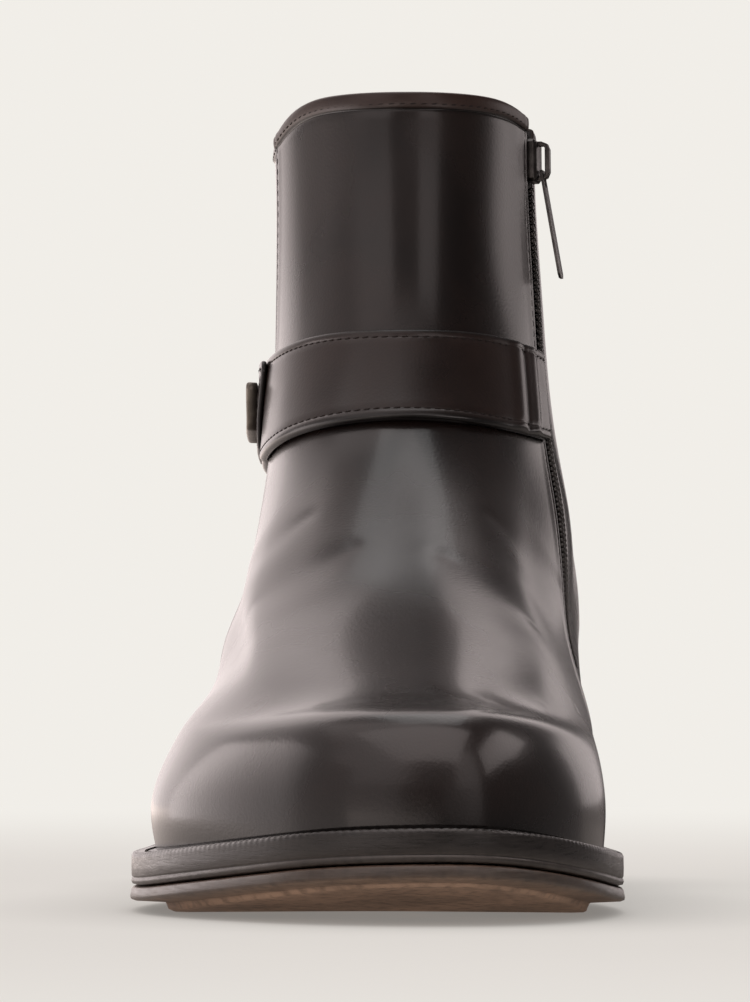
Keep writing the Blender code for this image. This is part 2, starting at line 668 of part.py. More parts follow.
def build_strap():
    first = -seam_angle(RING_S[7], STRAP_FRONT_END)
    last = 2 * math.pi - seam_angle(RING_S[7], STRAP_BACK_END)
    columns, _ = upper_columns(RING_S[7])
    around = np.concatenate((columns - 2 * math.pi, columns))
    around = around[(around > first + 0.03) & (around < last - 0.03)]
    around = around[np.concatenate(([True], np.diff(around) > 0.02))]
    angle = np.concatenate(([first], around, [last]))
    low, high = (curve(STRAP_ANGLE, e, np.degrees(angle)) for e in (STRAP_LOW, STRAP_HIGH))
    share = np.array(STRAP_SHARES)[:, None]
    turn = np.broadcast_to(angle, (len(share), len(angle)))
    s = level(turn, low + (high - low) * share)
    base = strap_base(s, turn)
    top = np.full(turn.shape, STRAP_THICK)
    top[[0, -1]] -= STRAP_BEVEL
    return make("strap", *slab(skin(s, turn, base), skin(s, turn, base + top)))


def on_strap(along, high, out):
    """Point out from the strap's outer face on the lateral side, (along, high) from the buckle's middle."""
    t = PLATE_MIDDLE_T - along
    z = PLATE_MIDDLE_Z + high - PLATE_SLOPE * along
    angle = np.full(np.shape(along), math.pi / 2)
    for _ in range(6):
        s = level(angle, z)
        ends = curve(RING_S, RING_LINES[:, [0, 2]], s)
        angle = np.arccos(1 - 2 * (ends[..., 0] - t) / (ends[..., 0] - ends[..., 1]))
    return skin(s, angle, strap_base(s, angle) + STRAP_THICK + out)


def rounded(length, height, corner):
    """Rectangle with round corners about its middle, its long sides in short steps, as (along, up)."""
    loop = []
    for quarter in range(4):
        x = (length / 2 - corner) * (1 if quarter in (0, 3) else -1)
        y = (height / 2 - corner) * (1 if quarter < 2 else -1)
        for k in range(CORNER_STEPS + 1):
            turn = math.pi / 2 * (quarter + k / CORNER_STEPS)
            loop.append((x + corner * math.cos(turn), y + corner * math.sin(turn)))
        if quarter in (0, 2):
            loop += [(x - 2 * x * k / BAR_STEPS, loop[-1][1]) for k in range(1, BAR_STEPS)]
    return np.array(loop)


def buckle_ring(length, height, corner, out):
    loop = rounded(length, height, corner)
    return on_strap(loop[:, 0], loop[:, 1], np.full(len(loop), out))


def build_buckle_plate():
    high = np.array((-0.5, 0.5)) * PLATE_HEIGHT
    high = np.array((high[0], high[0] + PLATE_CORNER, 0.0, high[1] - PLATE_CORNER, high[1]))
    half = PLATE_LENGTH / 2 - PLATE_CORNER * np.array((1, 0, 0, 0, 1))
    along = half[:, None] * np.linspace(-1, 1, PLATE_COLUMNS)
    high = np.broadcast_to(high[:, None], along.shape)
    faces = [on_strap(along, high, np.full(along.shape, out)) for out in (GAP, GAP + PLATE_THICK)]
    return make("buckle_plate", *slab(*faces))


def build_buckle_frame():
    low = 2 * GAP + PLATE_THICK
    wide = FRAME_LENGTH, FRAME_HEIGHT, FRAME_CORNER
    slim = FRAME_LENGTH - 2 * FRAME_BAR, FRAME_HEIGHT - 2 * FRAME_BAR, FRAME_HOLE_CORNER
    soft = FRAME_SOFT
    inset = lambda size, mm: (size[0] - 2 * mm, size[1] - 2 * mm, size[2] - mm)
    rings = [
        buckle_ring(*wide, low), buckle_ring(*wide, low + FRAME_THICK - soft),
        buckle_ring(*inset(wide, soft), low + FRAME_THICK),
        buckle_ring(*inset(slim, -soft), low + FRAME_THICK),
        buckle_ring(*slim, low + FRAME_THICK - soft), buckle_ring(*slim, low),
    ]
    return make("buckle_frame", *sleeve(rings, True))


def build_buckle_prong():
    low = 2 * GAP + PLATE_THICK
    reach_mm = FRAME_LENGTH / 2 - FRAME_BAR - GAP
    along = np.linspace(-reach_mm, reach_mm, 5)
    grid = lambda out: np.array([
        on_strap(along, np.full(5, side * PRONG_HALF), np.full(5, out)) for side in (-1, 1)
    ])
    return make("buckle_prong", *slab(grid(low), grid(low + PRONG_THICK)))


def main():
    for obj in list(bpy.data.objects):
        bpy.data.objects.remove(obj, do_unlink=True)
    for build in (
        build_upper, build_insole, build_welt, build_outsole, build_heel, build_zip_tape, build_zip_chain,
        build_zip_slider, build_zip_pull, build_strap, build_buckle_plate, build_buckle_frame,
        build_buckle_prong,
    ):
        build()


main()
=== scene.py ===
"""Dressed model of one polished leather ankle boot with a wrapped strap, a side zip and a stacked heel."""

import logging
import math
from dataclasses import dataclass
from enum import Enum
from typing import Any, Callable, Sequence

import bmesh
import bpy
import numpy as np
from bpy.types import Material, Node, NodeSocket, NodeTree, Object
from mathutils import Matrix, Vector


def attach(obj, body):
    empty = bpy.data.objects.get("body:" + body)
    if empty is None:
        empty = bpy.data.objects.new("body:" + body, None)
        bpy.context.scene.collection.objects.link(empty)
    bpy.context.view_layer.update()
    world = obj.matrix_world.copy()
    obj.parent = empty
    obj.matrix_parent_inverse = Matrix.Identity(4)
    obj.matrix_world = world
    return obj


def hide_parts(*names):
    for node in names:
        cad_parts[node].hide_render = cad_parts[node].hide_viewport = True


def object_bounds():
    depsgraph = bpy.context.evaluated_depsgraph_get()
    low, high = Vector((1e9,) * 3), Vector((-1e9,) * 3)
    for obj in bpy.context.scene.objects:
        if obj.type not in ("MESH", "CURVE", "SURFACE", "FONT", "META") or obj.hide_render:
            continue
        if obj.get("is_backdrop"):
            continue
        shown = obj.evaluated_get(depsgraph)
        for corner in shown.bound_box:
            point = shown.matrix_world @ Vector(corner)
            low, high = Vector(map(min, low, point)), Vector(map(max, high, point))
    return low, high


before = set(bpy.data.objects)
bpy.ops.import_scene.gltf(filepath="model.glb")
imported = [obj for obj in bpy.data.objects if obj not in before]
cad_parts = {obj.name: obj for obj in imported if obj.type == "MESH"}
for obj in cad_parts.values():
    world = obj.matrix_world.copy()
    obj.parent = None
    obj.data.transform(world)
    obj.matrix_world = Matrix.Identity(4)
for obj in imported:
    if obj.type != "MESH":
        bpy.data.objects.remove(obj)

LOG = logging.getLogger("boot")
MM = 0.001
TURN = 2 * math.pi
Colour = tuple[float, float, float]
Size = tuple[float, float, float]
Pairs = tuple[tuple[float, float], ...]
Values = np.ndarray | float


class Side(Enum):
    """Which side of the boot a line runs on."""

    LATERAL = "lateral"
    MEDIAL = "medial"


class Body(Enum):
    """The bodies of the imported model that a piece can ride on."""

    BOOT = "boot"
    PULL = "pull_tab"


# Rings of the upper's outer face from the sole's edge to the collar: the ends of each ring on the front
# ridge and the heel line, and its half-widths at five stations on the lateral and the medial side.
RING_LINES = np.array(
    [
        # front_t front_z back_t back_z x_front x_back follows_sole dip blunt
        (296, 20.4, 8, 35.6, 14.7, 0, 1, 0, 0.64),
        (294.9, 32.6, 5.5, 41.5, 14.2, 0, 1, 0, 0.64),
        (288, 43.9, 3.6, 48.5, 13, 0, 0.95, 0, 0.63),
        (274.5, 48.3, 2.8, 56.5, 11.2, 0, 0.95, 0, 0.62),
        (250, 53.6, 2.8, 66.5, 8, 0, 0.55, 0, 0.6),
        (204, 67.7, 3.6, 79, 4.4, 0, 0.2, 0, 0.6),
        (169, 84.9, 5.2, 95, 2, 0, 0.05, 0, 0.6),
        (137.5, 108, 7.6, 115, 1, 0, 0, 0, 0.6),
        (119, 137, 10, 140, 0.8, -0.4, 0, 1, 0.6),
        (111.6, 166, 11.6, 166, 0.8, -0.8, 0, 4.6, 0.6),
        (110, 184, 12, 182, 0.8, -1, 0, 9.5, 0.6),
    ]
)
RING_SIDES = np.array(
    [
        # lateral: tip ball waist ankle heel; medial: tip ball waist ankle heel
        (-20.5, -44.8, -48.8, -38.6, -34, 36, 46.2, 42.8, 29.5, 33),
        (-21, -46.5, -49, -39.6, -35.6, 36.4, 46.5, 44, 32.4, 34.6),
        (-20, -43.3, -46.2, -39.4, -36.2, 34, 44.1, 44, 36, 35.6),
        (-20.6, -42.2, -41.5, -38.4, -35.8, 31.4, 40.9, 43.5, 39.6, 35.6),
        (-23, -34.7, -39.6, -36.8, -34.4, 28.6, 37, 39.9, 40.6, 34.8),
        (-22.4, -33.3, -35.1, -35.2, -32.2, 24.4, 31.6, 38.1, 39.6, 33),
        (-19.4, -29.5, -33.1, -33.6, -29.4, 20, 29, 37.1, 37.2, 29.8),
        (-16.4, -26.9, -31.7, -32.4, -25.4, 17.2, 27.3, 33, 34, 26),
        (-14.8, -25.2, -31.8, -31.8, -22.6, 15.4, 25, 31, 31.2, 22.6),
        (-14.4, -25, -32, -31.8, -21.6, 14.6, 23.8, 29.4, 29.2, 20.4),
        (-14.4, -25.2, -32.4, -32, -21.4, 14.6, 23.8, 29.2, 28.8, 19.8),
    ]
)
STATIONS = np.array((0.02, 0.06, 0.20, 0.40, 0.65, 0.90))

# Grid lines of the upper, in mm: columns about a front panel's edge, across the zip channel and about its
# rear edge, and rows about the lower edge of the collar's binding
EDGE_STEPS = np.array(
    (-6, -4, -2.9, -2.3, -1.9, -1.6, -1.2, -0.8, -0.45, -0.2, 0, 0.15, 0.3, 0.5, 0.9, 1.6, 3))
CHANNEL_STEPS = np.linspace(-3.2, 3.2, 7)
REAR_STEPS = np.array((-1.4, -0.7, -0.45, -0.3, -0.15, 0, 0.2, 0.6, 1.2, 1.7, 2.2, 3, 4.5, 7))
HEM_STEPS = np.array((-1.0, -0.6, -0.3, -0.12, 0.0, 0.2, 0.5, 1.0, 1.6, 2.3))

# Curves of the form, each as its places and its values there
SOLE_TOP = np.array(
    [(-6, 20, 48, 74, 100, 126, 150, 176, 205, 235, 260, 282, 306),
     (36, 35.2, 34, 31.6, 27, 20.9, 15.8, 13, 12.5, 13, 14.9, 17.4, 20.8)], float)
CROWN = np.array(
    [(-6, 78, 110, 150, 170, 190, 220, 250, 285, 306), (0, 0, 0.7, 2.3, 3.1, 2.7, 2.6, 1.7, 1, 0.6)], float)
REACH_LATERAL = np.array([(0, 0.3, 0.55, 0.75, 1), (4.6, 5.4, 4.2, 2.6, 2.4)], float)
REACH_MEDIAL = np.array([(0, 0.3, 0.55, 0.75, 1), (4.6, 4.2, 3.8, 2.6, 2.4)], float)
SEAM = np.array(
    [(0, 40, 70, 109, 149, 187, 220, 268), (0.445, 0.42, 0.405, 0.38, 0.362, 0.36, 0.366, 0.368)], float)
STRAP_LOW = np.array(
    [(-75, -35, 0, 40, 75, 130, 180, 235), (103.6, 106, 107.4, 104.6, 99.8, 96, 95, 97)], float)
STRAP_HIGH = np.array(
    [(-75, -35, 0, 40, 75, 130, 180, 235), (123.8, 127.6, 128.2, 127.2, 123.4, 119, 117.4, 119.4)], float)


def curve(xs: np.ndarray, ys: np.ndarray, at: Values) -> np.ndarray:
    """Values of the natural cubic through points, held straight past its ends.

    Args:
        xs: rising places of the points.
        ys: values there, one row a place.
        at: places to read.

    Returns:
        One value, or row of values, for each place.
    """
    ys = np.asarray(ys, float)
    n, gaps = len(xs), np.diff(xs)
    system, right = np.eye(n), np.zeros_like(ys)
    for i in range(1, n - 1):
        system[i, i - 1 : i + 2] = gaps[i - 1], 2 * (gaps[i - 1] + gaps[i]), gaps[i]
        right[i] = 6 * ((ys[i + 1] - ys[i]) / gaps[i] - (ys[i] - ys[i - 1]) / gaps[i - 1])
    m = np.linalg.solve(system, right)
    at = np.clip(np.asarray(at, float), xs[0], xs[-1])
    i = np.clip(np.searchsorted(xs, at) - 1, 0, n - 2)
    h = xs[i + 1] - xs[i]
    a, b = (xs[i + 1] - at) / h, (at - xs[i]) / h
    k = (...,) + (None,) * (ys.ndim - 1)
    return a[k] * ys[i] + b[k] * ys[i + 1] + ((a**3 - a)[k] * m[i] + (b**3 - b)[k] * m[i + 1]) * (h**2)[k] / 6


def ease(x: Values, low: float, high: float) -> np.ndarray:
    """Soft step from 0 at low to 1 at high."""
    share = np.clip((np.asarray(x, float) - low) / (high - low), 0, 1)
    return share * share * (3 - 2 * share)


def hump(x: np.ndarray, middle: float, half: float) -> np.ndarray:
    """Soft bump of height 1 about a middle."""
    return np.exp(-(((x - middle) / half) ** 2))


@dataclass(frozen=True)
class BootForm:
    """The boot's surfaces as functions of row s (mm up the front ridge) and angle round the boot.

    Angle 0 is the front ridge, half a turn the heel line, and the lateral side lies between them.
    Points are (x, t, z) in mm: x to the medial side, t forward from the heel, z up.
    """

    mid_x: float = -2.01
    mid_t: float = 152.19
    gap: float = 0.3
    wall: float = 3.0
    panel_step: float = 0.8
    dip_power: int = 8
    dip_medial: float = 0.57
    welt_thick: float = 7.0
    outsole_thick: float = 3.0
    strap_seat: float = 0.4
    strap_thick: float = 1.9
    strap_ease_from: float = 1.0
    strap_ease_run: float = 8.0
    zip_floor: float = 1.9
    zip_end: float = 62.0

    @property
    def ring_s(self) -> np.ndarray:
        """Row of each ring of the tables."""
        steps = np.hypot(np.diff(RING_LINES[:, 0]), np.diff(RING_LINES[:, 1]))
        return np.append(0.0, np.cumsum(steps))

    @property
    def top(self) -> float:
        """Row of the collar's rim."""
        return float(self.ring_s[-1])

    def loop(self) -> tuple[np.ndarray, np.ndarray, np.ndarray, np.ndarray]:
        """The closed cubic round a ring: station angles, x at them, gaps and bend weights."""
        lateral, medial = RING_SIDES[:, :5], RING_SIDES[:, 5:]
        front, blunt = RING_LINES[:, 4:5], RING_LINES[:, 8:9]
        turn = [front + blunt * (side[:, :1] - front) for side in (lateral, medial)]
        x = np.hstack((front, turn[0], lateral, RING_LINES[:, 5:6], medial[:, ::-1], turn[1]))
        half = np.arccos(1 - 2 * STATIONS)
        angles = np.concatenate(([0.0], half, [math.pi], TURN - half[::-1]))
        n, gaps = len(angles), np.diff(np.append(angles, TURN))
        system, right = np.zeros((n, n)), np.zeros((n, n))
        for i in range(n):
            before, after = (i - 1) % n, (i + 1) % n
            system[i, before] += gaps[before]
            system[i, i] += 2 * (gaps[before] + gaps[i])
            system[i, after] += gaps[i]
            right[i, after] += 6 / gaps[i]
            right[i, i] -= 6 / gaps[i] + 6 / gaps[before]
            right[i, before] += 6 / gaps[before]
        return angles, x, gaps, np.linalg.solve(system, right)

    def sole_top(self, t: np.ndarray) -> np.ndarray:
        """Height of the welt's top face along the foot."""
        return curve(*SOLE_TOP, t)

    def shell(self, s: Values, angle: Values) -> np.ndarray:
        """Smooth outer face of the upper.

        Args:
            s: rows.
            angle: angles, of a shape that goes with the rows.

        Returns:
            Points (x, t, z) along the last axis.
        """
        s, angle = np.broadcast_arrays(np.asarray(s, float), np.asarray(angle, float))
        angles, x_rows, gaps, bends = self.loop()
        rows = curve(self.ring_s, RING_LINES[:, :8], s)
        front_t, front_z, back_t, back_z, _, _, follow, dip = np.moveaxis(rows, -1, 0)
        c = (1 - np.cos(angle)) / 2
        t = front_t + (back_t - front_t) * c
        straight = RING_LINES[0, 1] + (RING_LINES[0, 3] - RING_LINES[0, 1]) * c
        z = front_z + (back_z - front_z) * c + follow * (self.sole_top(t) + self.gap - straight)
        z = z - dip * np.where(np.sin(angle) < 0, self.dip_medial, 1.0) * np.sin(angle) ** self.dip_power
        controls, turned = curve(self.ring_s, x_rows, s), np.mod(angle, TURN)
        i = np.clip(np.searchsorted(angles, turned, side="right") - 1, 0, len(angles) - 1)
        j, h = (i + 1) % len(angles), gaps[i]
        b = (turned - angles[i]) / h
        a, bent = 1 - b, controls @ bends.T
        pick = lambda table, k: np.take_along_axis(table, k[..., None], -1)[..., 0]
        x = a * pick(controls, i) + b * pick(controls, j)
        x = x + ((a**3 - a) * pick(bent, i) + (b**3 - b) * pick(bent, j)) * h**2 / 6
        return np.stack((x, t, z), axis=-1)

    def normal(self, s: Values, angle: Values) -> np.ndarray:
        """Outward unit normals of the smooth outer face."""
        s, angle = np.broadcast_arrays(np.asarray(s, float), np.asarray(angle, float))
        ds, da = 0.05, 1e-3
        up = self.shell(np.clip(s + ds, 0, self.top), angle) - self.shell(np.clip(s - ds, 0, self.top), angle)
        n = np.cross(self.shell(s, angle + da) - self.shell(s, angle - da), up)
        return n / np.linalg.norm(n, axis=-1, keepdims=True)

    def skin(self, s: Values, angle: Values, out: Values) -> np.ndarray:
        """Points of the outer face pushed out along its normals."""
        s, angle, out = np.broadcast_arrays(*(np.asarray(v, float) for v in (s, angle, out)))
        return self.shell(s, angle) + self.normal(s, angle) * out[..., None]

    def ring_length(self, s: Values) -> np.ndarray:
        """Straight length of a ring from its front end to its back end."""
        rows = curve(self.ring_s, RING_LINES[:, :4], s)
        return np.hypot(rows[..., 0] - rows[..., 2], rows[..., 1] - rows[..., 3])

    def seam(self, s: Values, back: Values, side: Side) -> np.ndarray:
        """Angle of a line that runs a number of mm behind the side seam.

        Args:
            s: rows.
            back: mm behind the seam, below 0 in front of it.
            side: which of the two seams.

        Returns:
            Angles, one a row.
        """
        c = curve(*SEAM, s) + np.asarray(back, float) / self.ring_length(s)
        angle = np.arccos(1 - 2 * c)
        return angle if side is Side.LATERAL else TURN - angle

    def level(self, angle: Values, z: Values) -> np.ndarray:
        """Rows at which the outer face is at heights z."""
        angle, z = np.broadcast_arrays(np.asarray(angle, float), np.asarray(z, float))
        s = np.full(angle.shape, self.ring_s[7])
        for _ in range(12):
            slope = self.shell(s + 0.5, angle)[..., 2] - self.shell(s - 0.5, angle)[..., 2]
            s = np.clip(s + (z - self.shell(s, angle)[..., 2]) / np.maximum(slope, 0.2), 1.0, self.top - 1.0)
        return s

    def plan(self, angle: np.ndarray, grow: Values) -> np.ndarray:
        """Sole-edge line in plan, pushed outwards, as (x, t)."""
        step = self.shell(0.0, angle + 1e-3) - self.shell(0.0, angle - 1e-3)
        out = np.stack((step[..., 1], -step[..., 0]), axis=-1)
        out /= np.linalg.norm(out, axis=-1, keepdims=True)
        grow = np.broadcast_to(np.asarray(grow, float), np.shape(angle))
        return self.shell(0.0, angle)[..., :2] + out * grow[..., None]

    def reach(self, angle: np.ndarray) -> np.ndarray:
        """How far the welt stands past the upper."""
        c, side = (1 - np.cos(angle)) / 2, (1 + np.sin(angle)) / 2
        return curve(*REACH_LATERAL, c) * side + curve(*REACH_MEDIAL, c) * (1 - side)

    def rim_under(self, t: np.ndarray) -> np.ndarray:
        """Height of the outsole's lower rim."""
        return self.sole_top(t) - self.welt_thick - self.gap - self.outsole_thick

    def underside(self, t: np.ndarray, share: float) -> np.ndarray:
        """Height of the outsole's underside, from its rim (share 0) to its middle (share 1)."""
        rim = self.rim_under(t)
        return rim + (np.maximum(rim - curve(*CROWN, t), 0.0) - rim) * share

    def sole_line(self, count: int) -> np.ndarray:
        """Angles at even steps along the edge of the sole."""
        fine = np.linspace(0, TURN, 4001)
        line = self.plan(fine, self.reach(fine))
        run = np.append(0.0, np.cumsum(np.linalg.norm(np.diff(line, axis=0), axis=1)))
        return np.interp(np.linspace(0, run[-1], count, endpoint=False), run, fine)

    def strap_base(self, s: np.ndarray, angle: np.ndarray) -> np.ndarray:
        """How far the strap's underside stands off the smooth outer face."""
        past = (angle - self.seam(s, 0.0, Side.LATERAL)) * self.ring_length(s) / 2
        return self.strap_seat - self.panel_step * ease(
            past, self.strap_ease_from, self.strap_ease_from + self.strap_ease_run)

    def world(self, points: np.ndarray) -> np.ndarray:
        """Points in the part's frame, in metres."""
        x, t, z = np.moveaxis(np.asarray(points, float), -1, 0)
        return np.stack((x - self.mid_x, self.mid_t - t, z), axis=-1) * MM

    def world_direction(self, vectors: np.ndarray) -> np.ndarray:
        """Directions in the part's frame."""
        x, t, z = np.moveaxis(np.asarray(vectors, float), -1, 0)
        return np.stack((x, -t, z), axis=-1)


FORM = BootForm()

# Rounding of metal edges: welding distance in metres, and turns of a flat face, a sharp edge and a hard shade
WELD = 2e-6
FLAT_TURN, EDGE_TURN, SHADE_TURN = (math.radians(v) for v in (2, 24, 38))


def grid_faces(rows: int, columns: int, join_rows: bool, join_columns: bool) -> np.ndarray:
    """Quads of a grid of points.

    Args:
        rows: number of rows.
        columns: number of points in a row.
        join_rows: whether the last row meets the first.
        join_columns: whether each row closes on itself.

    Returns:
        One row of four point numbers for each quad, row by row.
    """
    i, j = np.meshgrid(
        np.arange(rows if join_rows else rows - 1), np.arange(columns if join_columns else columns - 1),
        indexing="ij")
    k, n = (i + 1) % rows, (j + 1) % columns
    quads = np.stack((i * columns + j, k * columns + j, k * columns + n, i * columns + n), axis=-1)
    return quads.reshape(-1, 4)


def capped_faces(rows: int, columns: int) -> list[list[int]]:
    """Quads of a tube of closed rows, with one face over each end."""
    last = [(rows - 1) * columns + j for j in range(columns)]
    return grid_faces(rows, columns, False, True).tolist() + [list(range(columns)), last[::-1]]


def placed(name: str, data: bpy.types.ID) -> Object:
    """An object that holds some data, linked into the scene."""
    obj = bpy.data.objects.new(name, data)
    bpy.context.scene.collection.objects.link(obj)
    return obj


def make_piece(
    name: str,
    points: np.ndarray,
    faces: Sequence[Sequence[int]],
    materials: Sequence[Material],
    marks: dict[str, np.ndarray] | None = None,
    choice: np.ndarray | None = None,
) -> Object:
    """A smooth mesh object from points of the form.

    Args:
        name: name of the piece.
        points: (x, t, z) in mm.
        faces: point numbers of each face.
        materials: finishes, in slot order.
        marks: named value for each point, stored as attributes.
        choice: slot number of each face.

    Returns:
        The object, its faces turned outwards.
    """
    mesh = bpy.data.meshes.new(name)
    mesh.from_pydata(FORM.world(points).tolist(), [], [list(map(int, f)) for f in faces])
    for material in materials:
        mesh.materials.append(material)
    if choice is not None:
        mesh.polygons.foreach_set("material_index", np.asarray(choice, np.int32))
    for key, values in (marks or {}).items():
        store = mesh.attributes.new(key, "FLOAT", "POINT")
        store.data.foreach_set("value", np.asarray(values, np.float32).ravel())
    form = bmesh.new()
    form.from_mesh(mesh)
    bmesh.ops.recalc_face_normals(form, faces=form.faces)
    form.to_mesh(mesh)
    form.free()
    mesh.polygons.foreach_set("use_smooth", np.ones(len(mesh.polygons), bool))
    return placed(name, mesh)


def settle(obj: Object, body: Body, slot: str, *nodes: str) -> Object:
    """Lets a finished piece ride a body and stand for CAD nodes.

    Args:
        obj: the piece.
        body: what it moves with.
        slot: the record's finish; not used.
        nodes: CAD nodes that it stands for.

    Returns:
        The piece.
    """
    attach(obj, body.value)
    if nodes:
        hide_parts(*nodes)
    LOG.info("%s: %d faces on %s", obj.name, len(obj.data.polygons), body.value)
    return obj


class NodeDesk:
    """Adds and joins the nodes of one tree."""

    def __init__(self, tree: NodeTree) -> None:
        """Starts on a tree."""
        self.tree = tree

    def fill(self, node: Node, values: dict[Any, Any]) -> None:
        """Gives a node's inputs, by name or number, plain values or links to sockets."""
        for key, value in values.items():
            if isinstance(value, NodeSocket):
                self.tree.links.new(value, node.inputs[key])
            else:
                node.inputs[key].default_value = value

    def add(self, kind: str, values: dict[Any, Any] | None = None, **settings: Any) -> Node:
        """Adds a node.

        Args:
            kind: Blender's name of the node type.
            values: what its inputs take.
            settings: the node's own properties.

        Returns:
            The node.
        """
        node = self.tree.nodes.new(kind)
        for key, value in settings.items():
            setattr(node, key, value)
        self.fill(node, values or {})
        return node

    def group(self, tree: NodeTree, **values: Any) -> Any:
        """Outputs of a shader group; its inputs are named with _ for a blank."""
        named = {key.replace("_", " "): value for key, value in values.items()}
        return self.add("ShaderNodeGroup", named, node_tree=tree).outputs

    def maths(self, operation: str, *terms: Any) -> NodeSocket:
        """Result of a Math node on values or sockets."""
        return self.add("ShaderNodeMath", dict(enumerate(terms)), operation=operation).outputs[0]

    def vector(self, operation: str, values: dict[Any, Any]) -> NodeSocket:
        """Result of a Vector Math node on values or sockets."""
        node = self.add("ShaderNodeVectorMath", values, operation=operation)
        return node.outputs["Value" if operation == "LENGTH" else "Vector"]

    def blend(self, share: Any, first: Any, second: Any) -> NodeSocket:
        """Colour between two colours."""
        pick = lambda c: c if isinstance(c, NodeSocket) else (*c, 1.0)
        node = self.add("ShaderNodeMix", {0: share, 6: pick(first), 7: pick(second)}, data_type="RGBA")
        return node.outputs[2]

    def spread(self, value: Any, low: float, high: float, to_low: float, to_high: float) -> NodeSocket:
        """Value carried from one range to another, held at its ends."""
        return self.add("ShaderNodeMapRange", {0: value, 1: low, 2: high, 3: to_low, 4: to_high}).outputs[0]

    def soft_step(self, value: Any, low: Any, high: Any) -> NodeSocket:
        """Soft step from 0 at low to 1 at high."""
        values = {0: value, 1: low, 2: high}
        return self.add("ShaderNodeMapRange", values, interpolation_type="SMOOTHSTEP").outputs[0]

    def noise(self, **values: Any) -> NodeSocket:
        """Value of a noise texture."""
        return self.add("ShaderNodeTexNoise", values).outputs[0]

    def bump(self, height: NodeSocket, depth: float, strength: float = 1.0) -> NodeSocket:
        """Normals of a fine relief."""
        values = {"Strength": strength, "Distance": depth, "Height": height}
        return self.add("ShaderNodeBump", values).outputs[0]

    def mark(self, name: str) -> NodeSocket:
        """Value of a named mark of the mesh."""
        return self.add("ShaderNodeAttribute", attribute_name=name).outputs["Fac"]


def new_group(name: str, inputs: dict[str, Any], outputs: Sequence[str]) -> tuple[NodeDesk, Any, Node]:
    """A shader group that reads a place and some values.

    Args:
        name: name of the group.
        inputs: default of each input besides the place, a number or a vector.
        outputs: names of the value outputs.

    Returns:
        A desk on the group's tree, the sockets that it reads, and its output node.
    """
    tree = bpy.data.node_groups.new(name, "ShaderNodeTree")
    tree.interface.new_socket("Vector", in_out="INPUT", socket_type="NodeSocketVector")
    for label, default in inputs.items():
        kind = "NodeSocketVector" if isinstance(default, tuple) else "NodeSocketFloat"
        tree.interface.new_socket(label, in_out="INPUT", socket_type=kind).default_value = default
    for label in outputs:
        tree.interface.new_socket(label, in_out="OUTPUT", socket_type="NodeSocketFloat")
    desk = NodeDesk(tree)
    return desk, desk.add("NodeGroupInput").outputs, desk.add("NodeGroupOutput")


class Effects:
    """Shader groups that several finishes share, each built once."""

    def __init__(self) -> None:
        """Builds the groups."""
        self.grain = self.make_grain()
        self.clouds = self.make_clouds()
        self.fibres = self.make_fibres()

    @staticmethod
    def make_grain() -> NodeTree:
        """Fine pebbles, pores and slow waves of smooth hide, as a height."""
        sizes = {"Pebble Scale": 900.0, "Wave Scale": 60.0, "Wave Share": 0.5}
        desk, entry, leave = new_group("hide_grain", sizes, ("Height",))
        place, scale = entry["Vector"], entry["Pebble Scale"]
        cells = desk.add(
            "ShaderNodeTexVoronoi", {"Vector": place, "Scale": scale, "Smoothness": 0.6}, feature="SMOOTH_F1")
        pores = desk.noise(Vector=place, Scale=desk.maths("MULTIPLY", scale, 2.3))
        waves = desk.noise(Vector=place, Scale=entry["Wave Scale"], Detail=1.0)
        fine = desk.maths("ADD", cells.outputs["Distance"], desk.maths("MULTIPLY", pores, 0.45))
        slow = desk.maths("MULTIPLY", waves, desk.maths("MULTIPLY", entry["Wave Share"], 6.0))
        desk.fill(leave, {"Height": desk.maths("ADD", fine, slow)})
        return desk.tree

    @staticmethod
    def make_clouds() -> NodeTree:
        """Soft uneven patches, as a mask from 0 to 1."""
        desk, entry, leave = new_group("soft_clouds", {"Scale": 30.0, "Low": 0.35, "High": 0.65}, ("Mask",))
        noise = desk.noise(Vector=entry["Vector"], Scale=entry["Scale"], Detail=3.0, Roughness=0.55)
        desk.fill(leave, {"Mask": desk.soft_step(noise, entry["Low"], entry["High"])})
        return desk.tree

    @staticmethod
    def make_fibres() -> NodeTree:
        """Fine streaks drawn out along one axis, as a height and a mask."""
        sizes = {"Stretch": (1.0, 1.0, 1.0), "Scale": 900.0}
        desk, entry, leave = new_group("drawn_fibres", sizes, ("Height", "Mask"))
        pulled = desk.vector("MULTIPLY", {0: entry["Vector"], 1: entry["Stretch"]})
        noise = desk.noise(Vector=pulled, Scale=entry["Scale"], Detail=4.0, Roughness=0.65)
        desk.fill(leave, {"Height": noise, "Mask": desk.spread(noise, 0.35, 0.68, 0.0, 1.0)})
        return desk.tree


EFFECTS = Effects()


def new_material(name: str) -> tuple[Material, NodeDesk, Node, NodeSocket]:
    """A material with its desk, its surface shader and the place on the object.

    Args:
        name: name of the material.

    Returns:
        The material, a desk on its tree, its shader node and the Object coordinate socket.
    """
    material = bpy.data.materials.new(name)
    material.use_nodes = True
    desk = NodeDesk(material.node_tree)
    surface = material.node_tree.nodes["Principled BSDF"]
    return material, desk, surface, desk.add("ShaderNodeTexCoord").outputs["Object"]


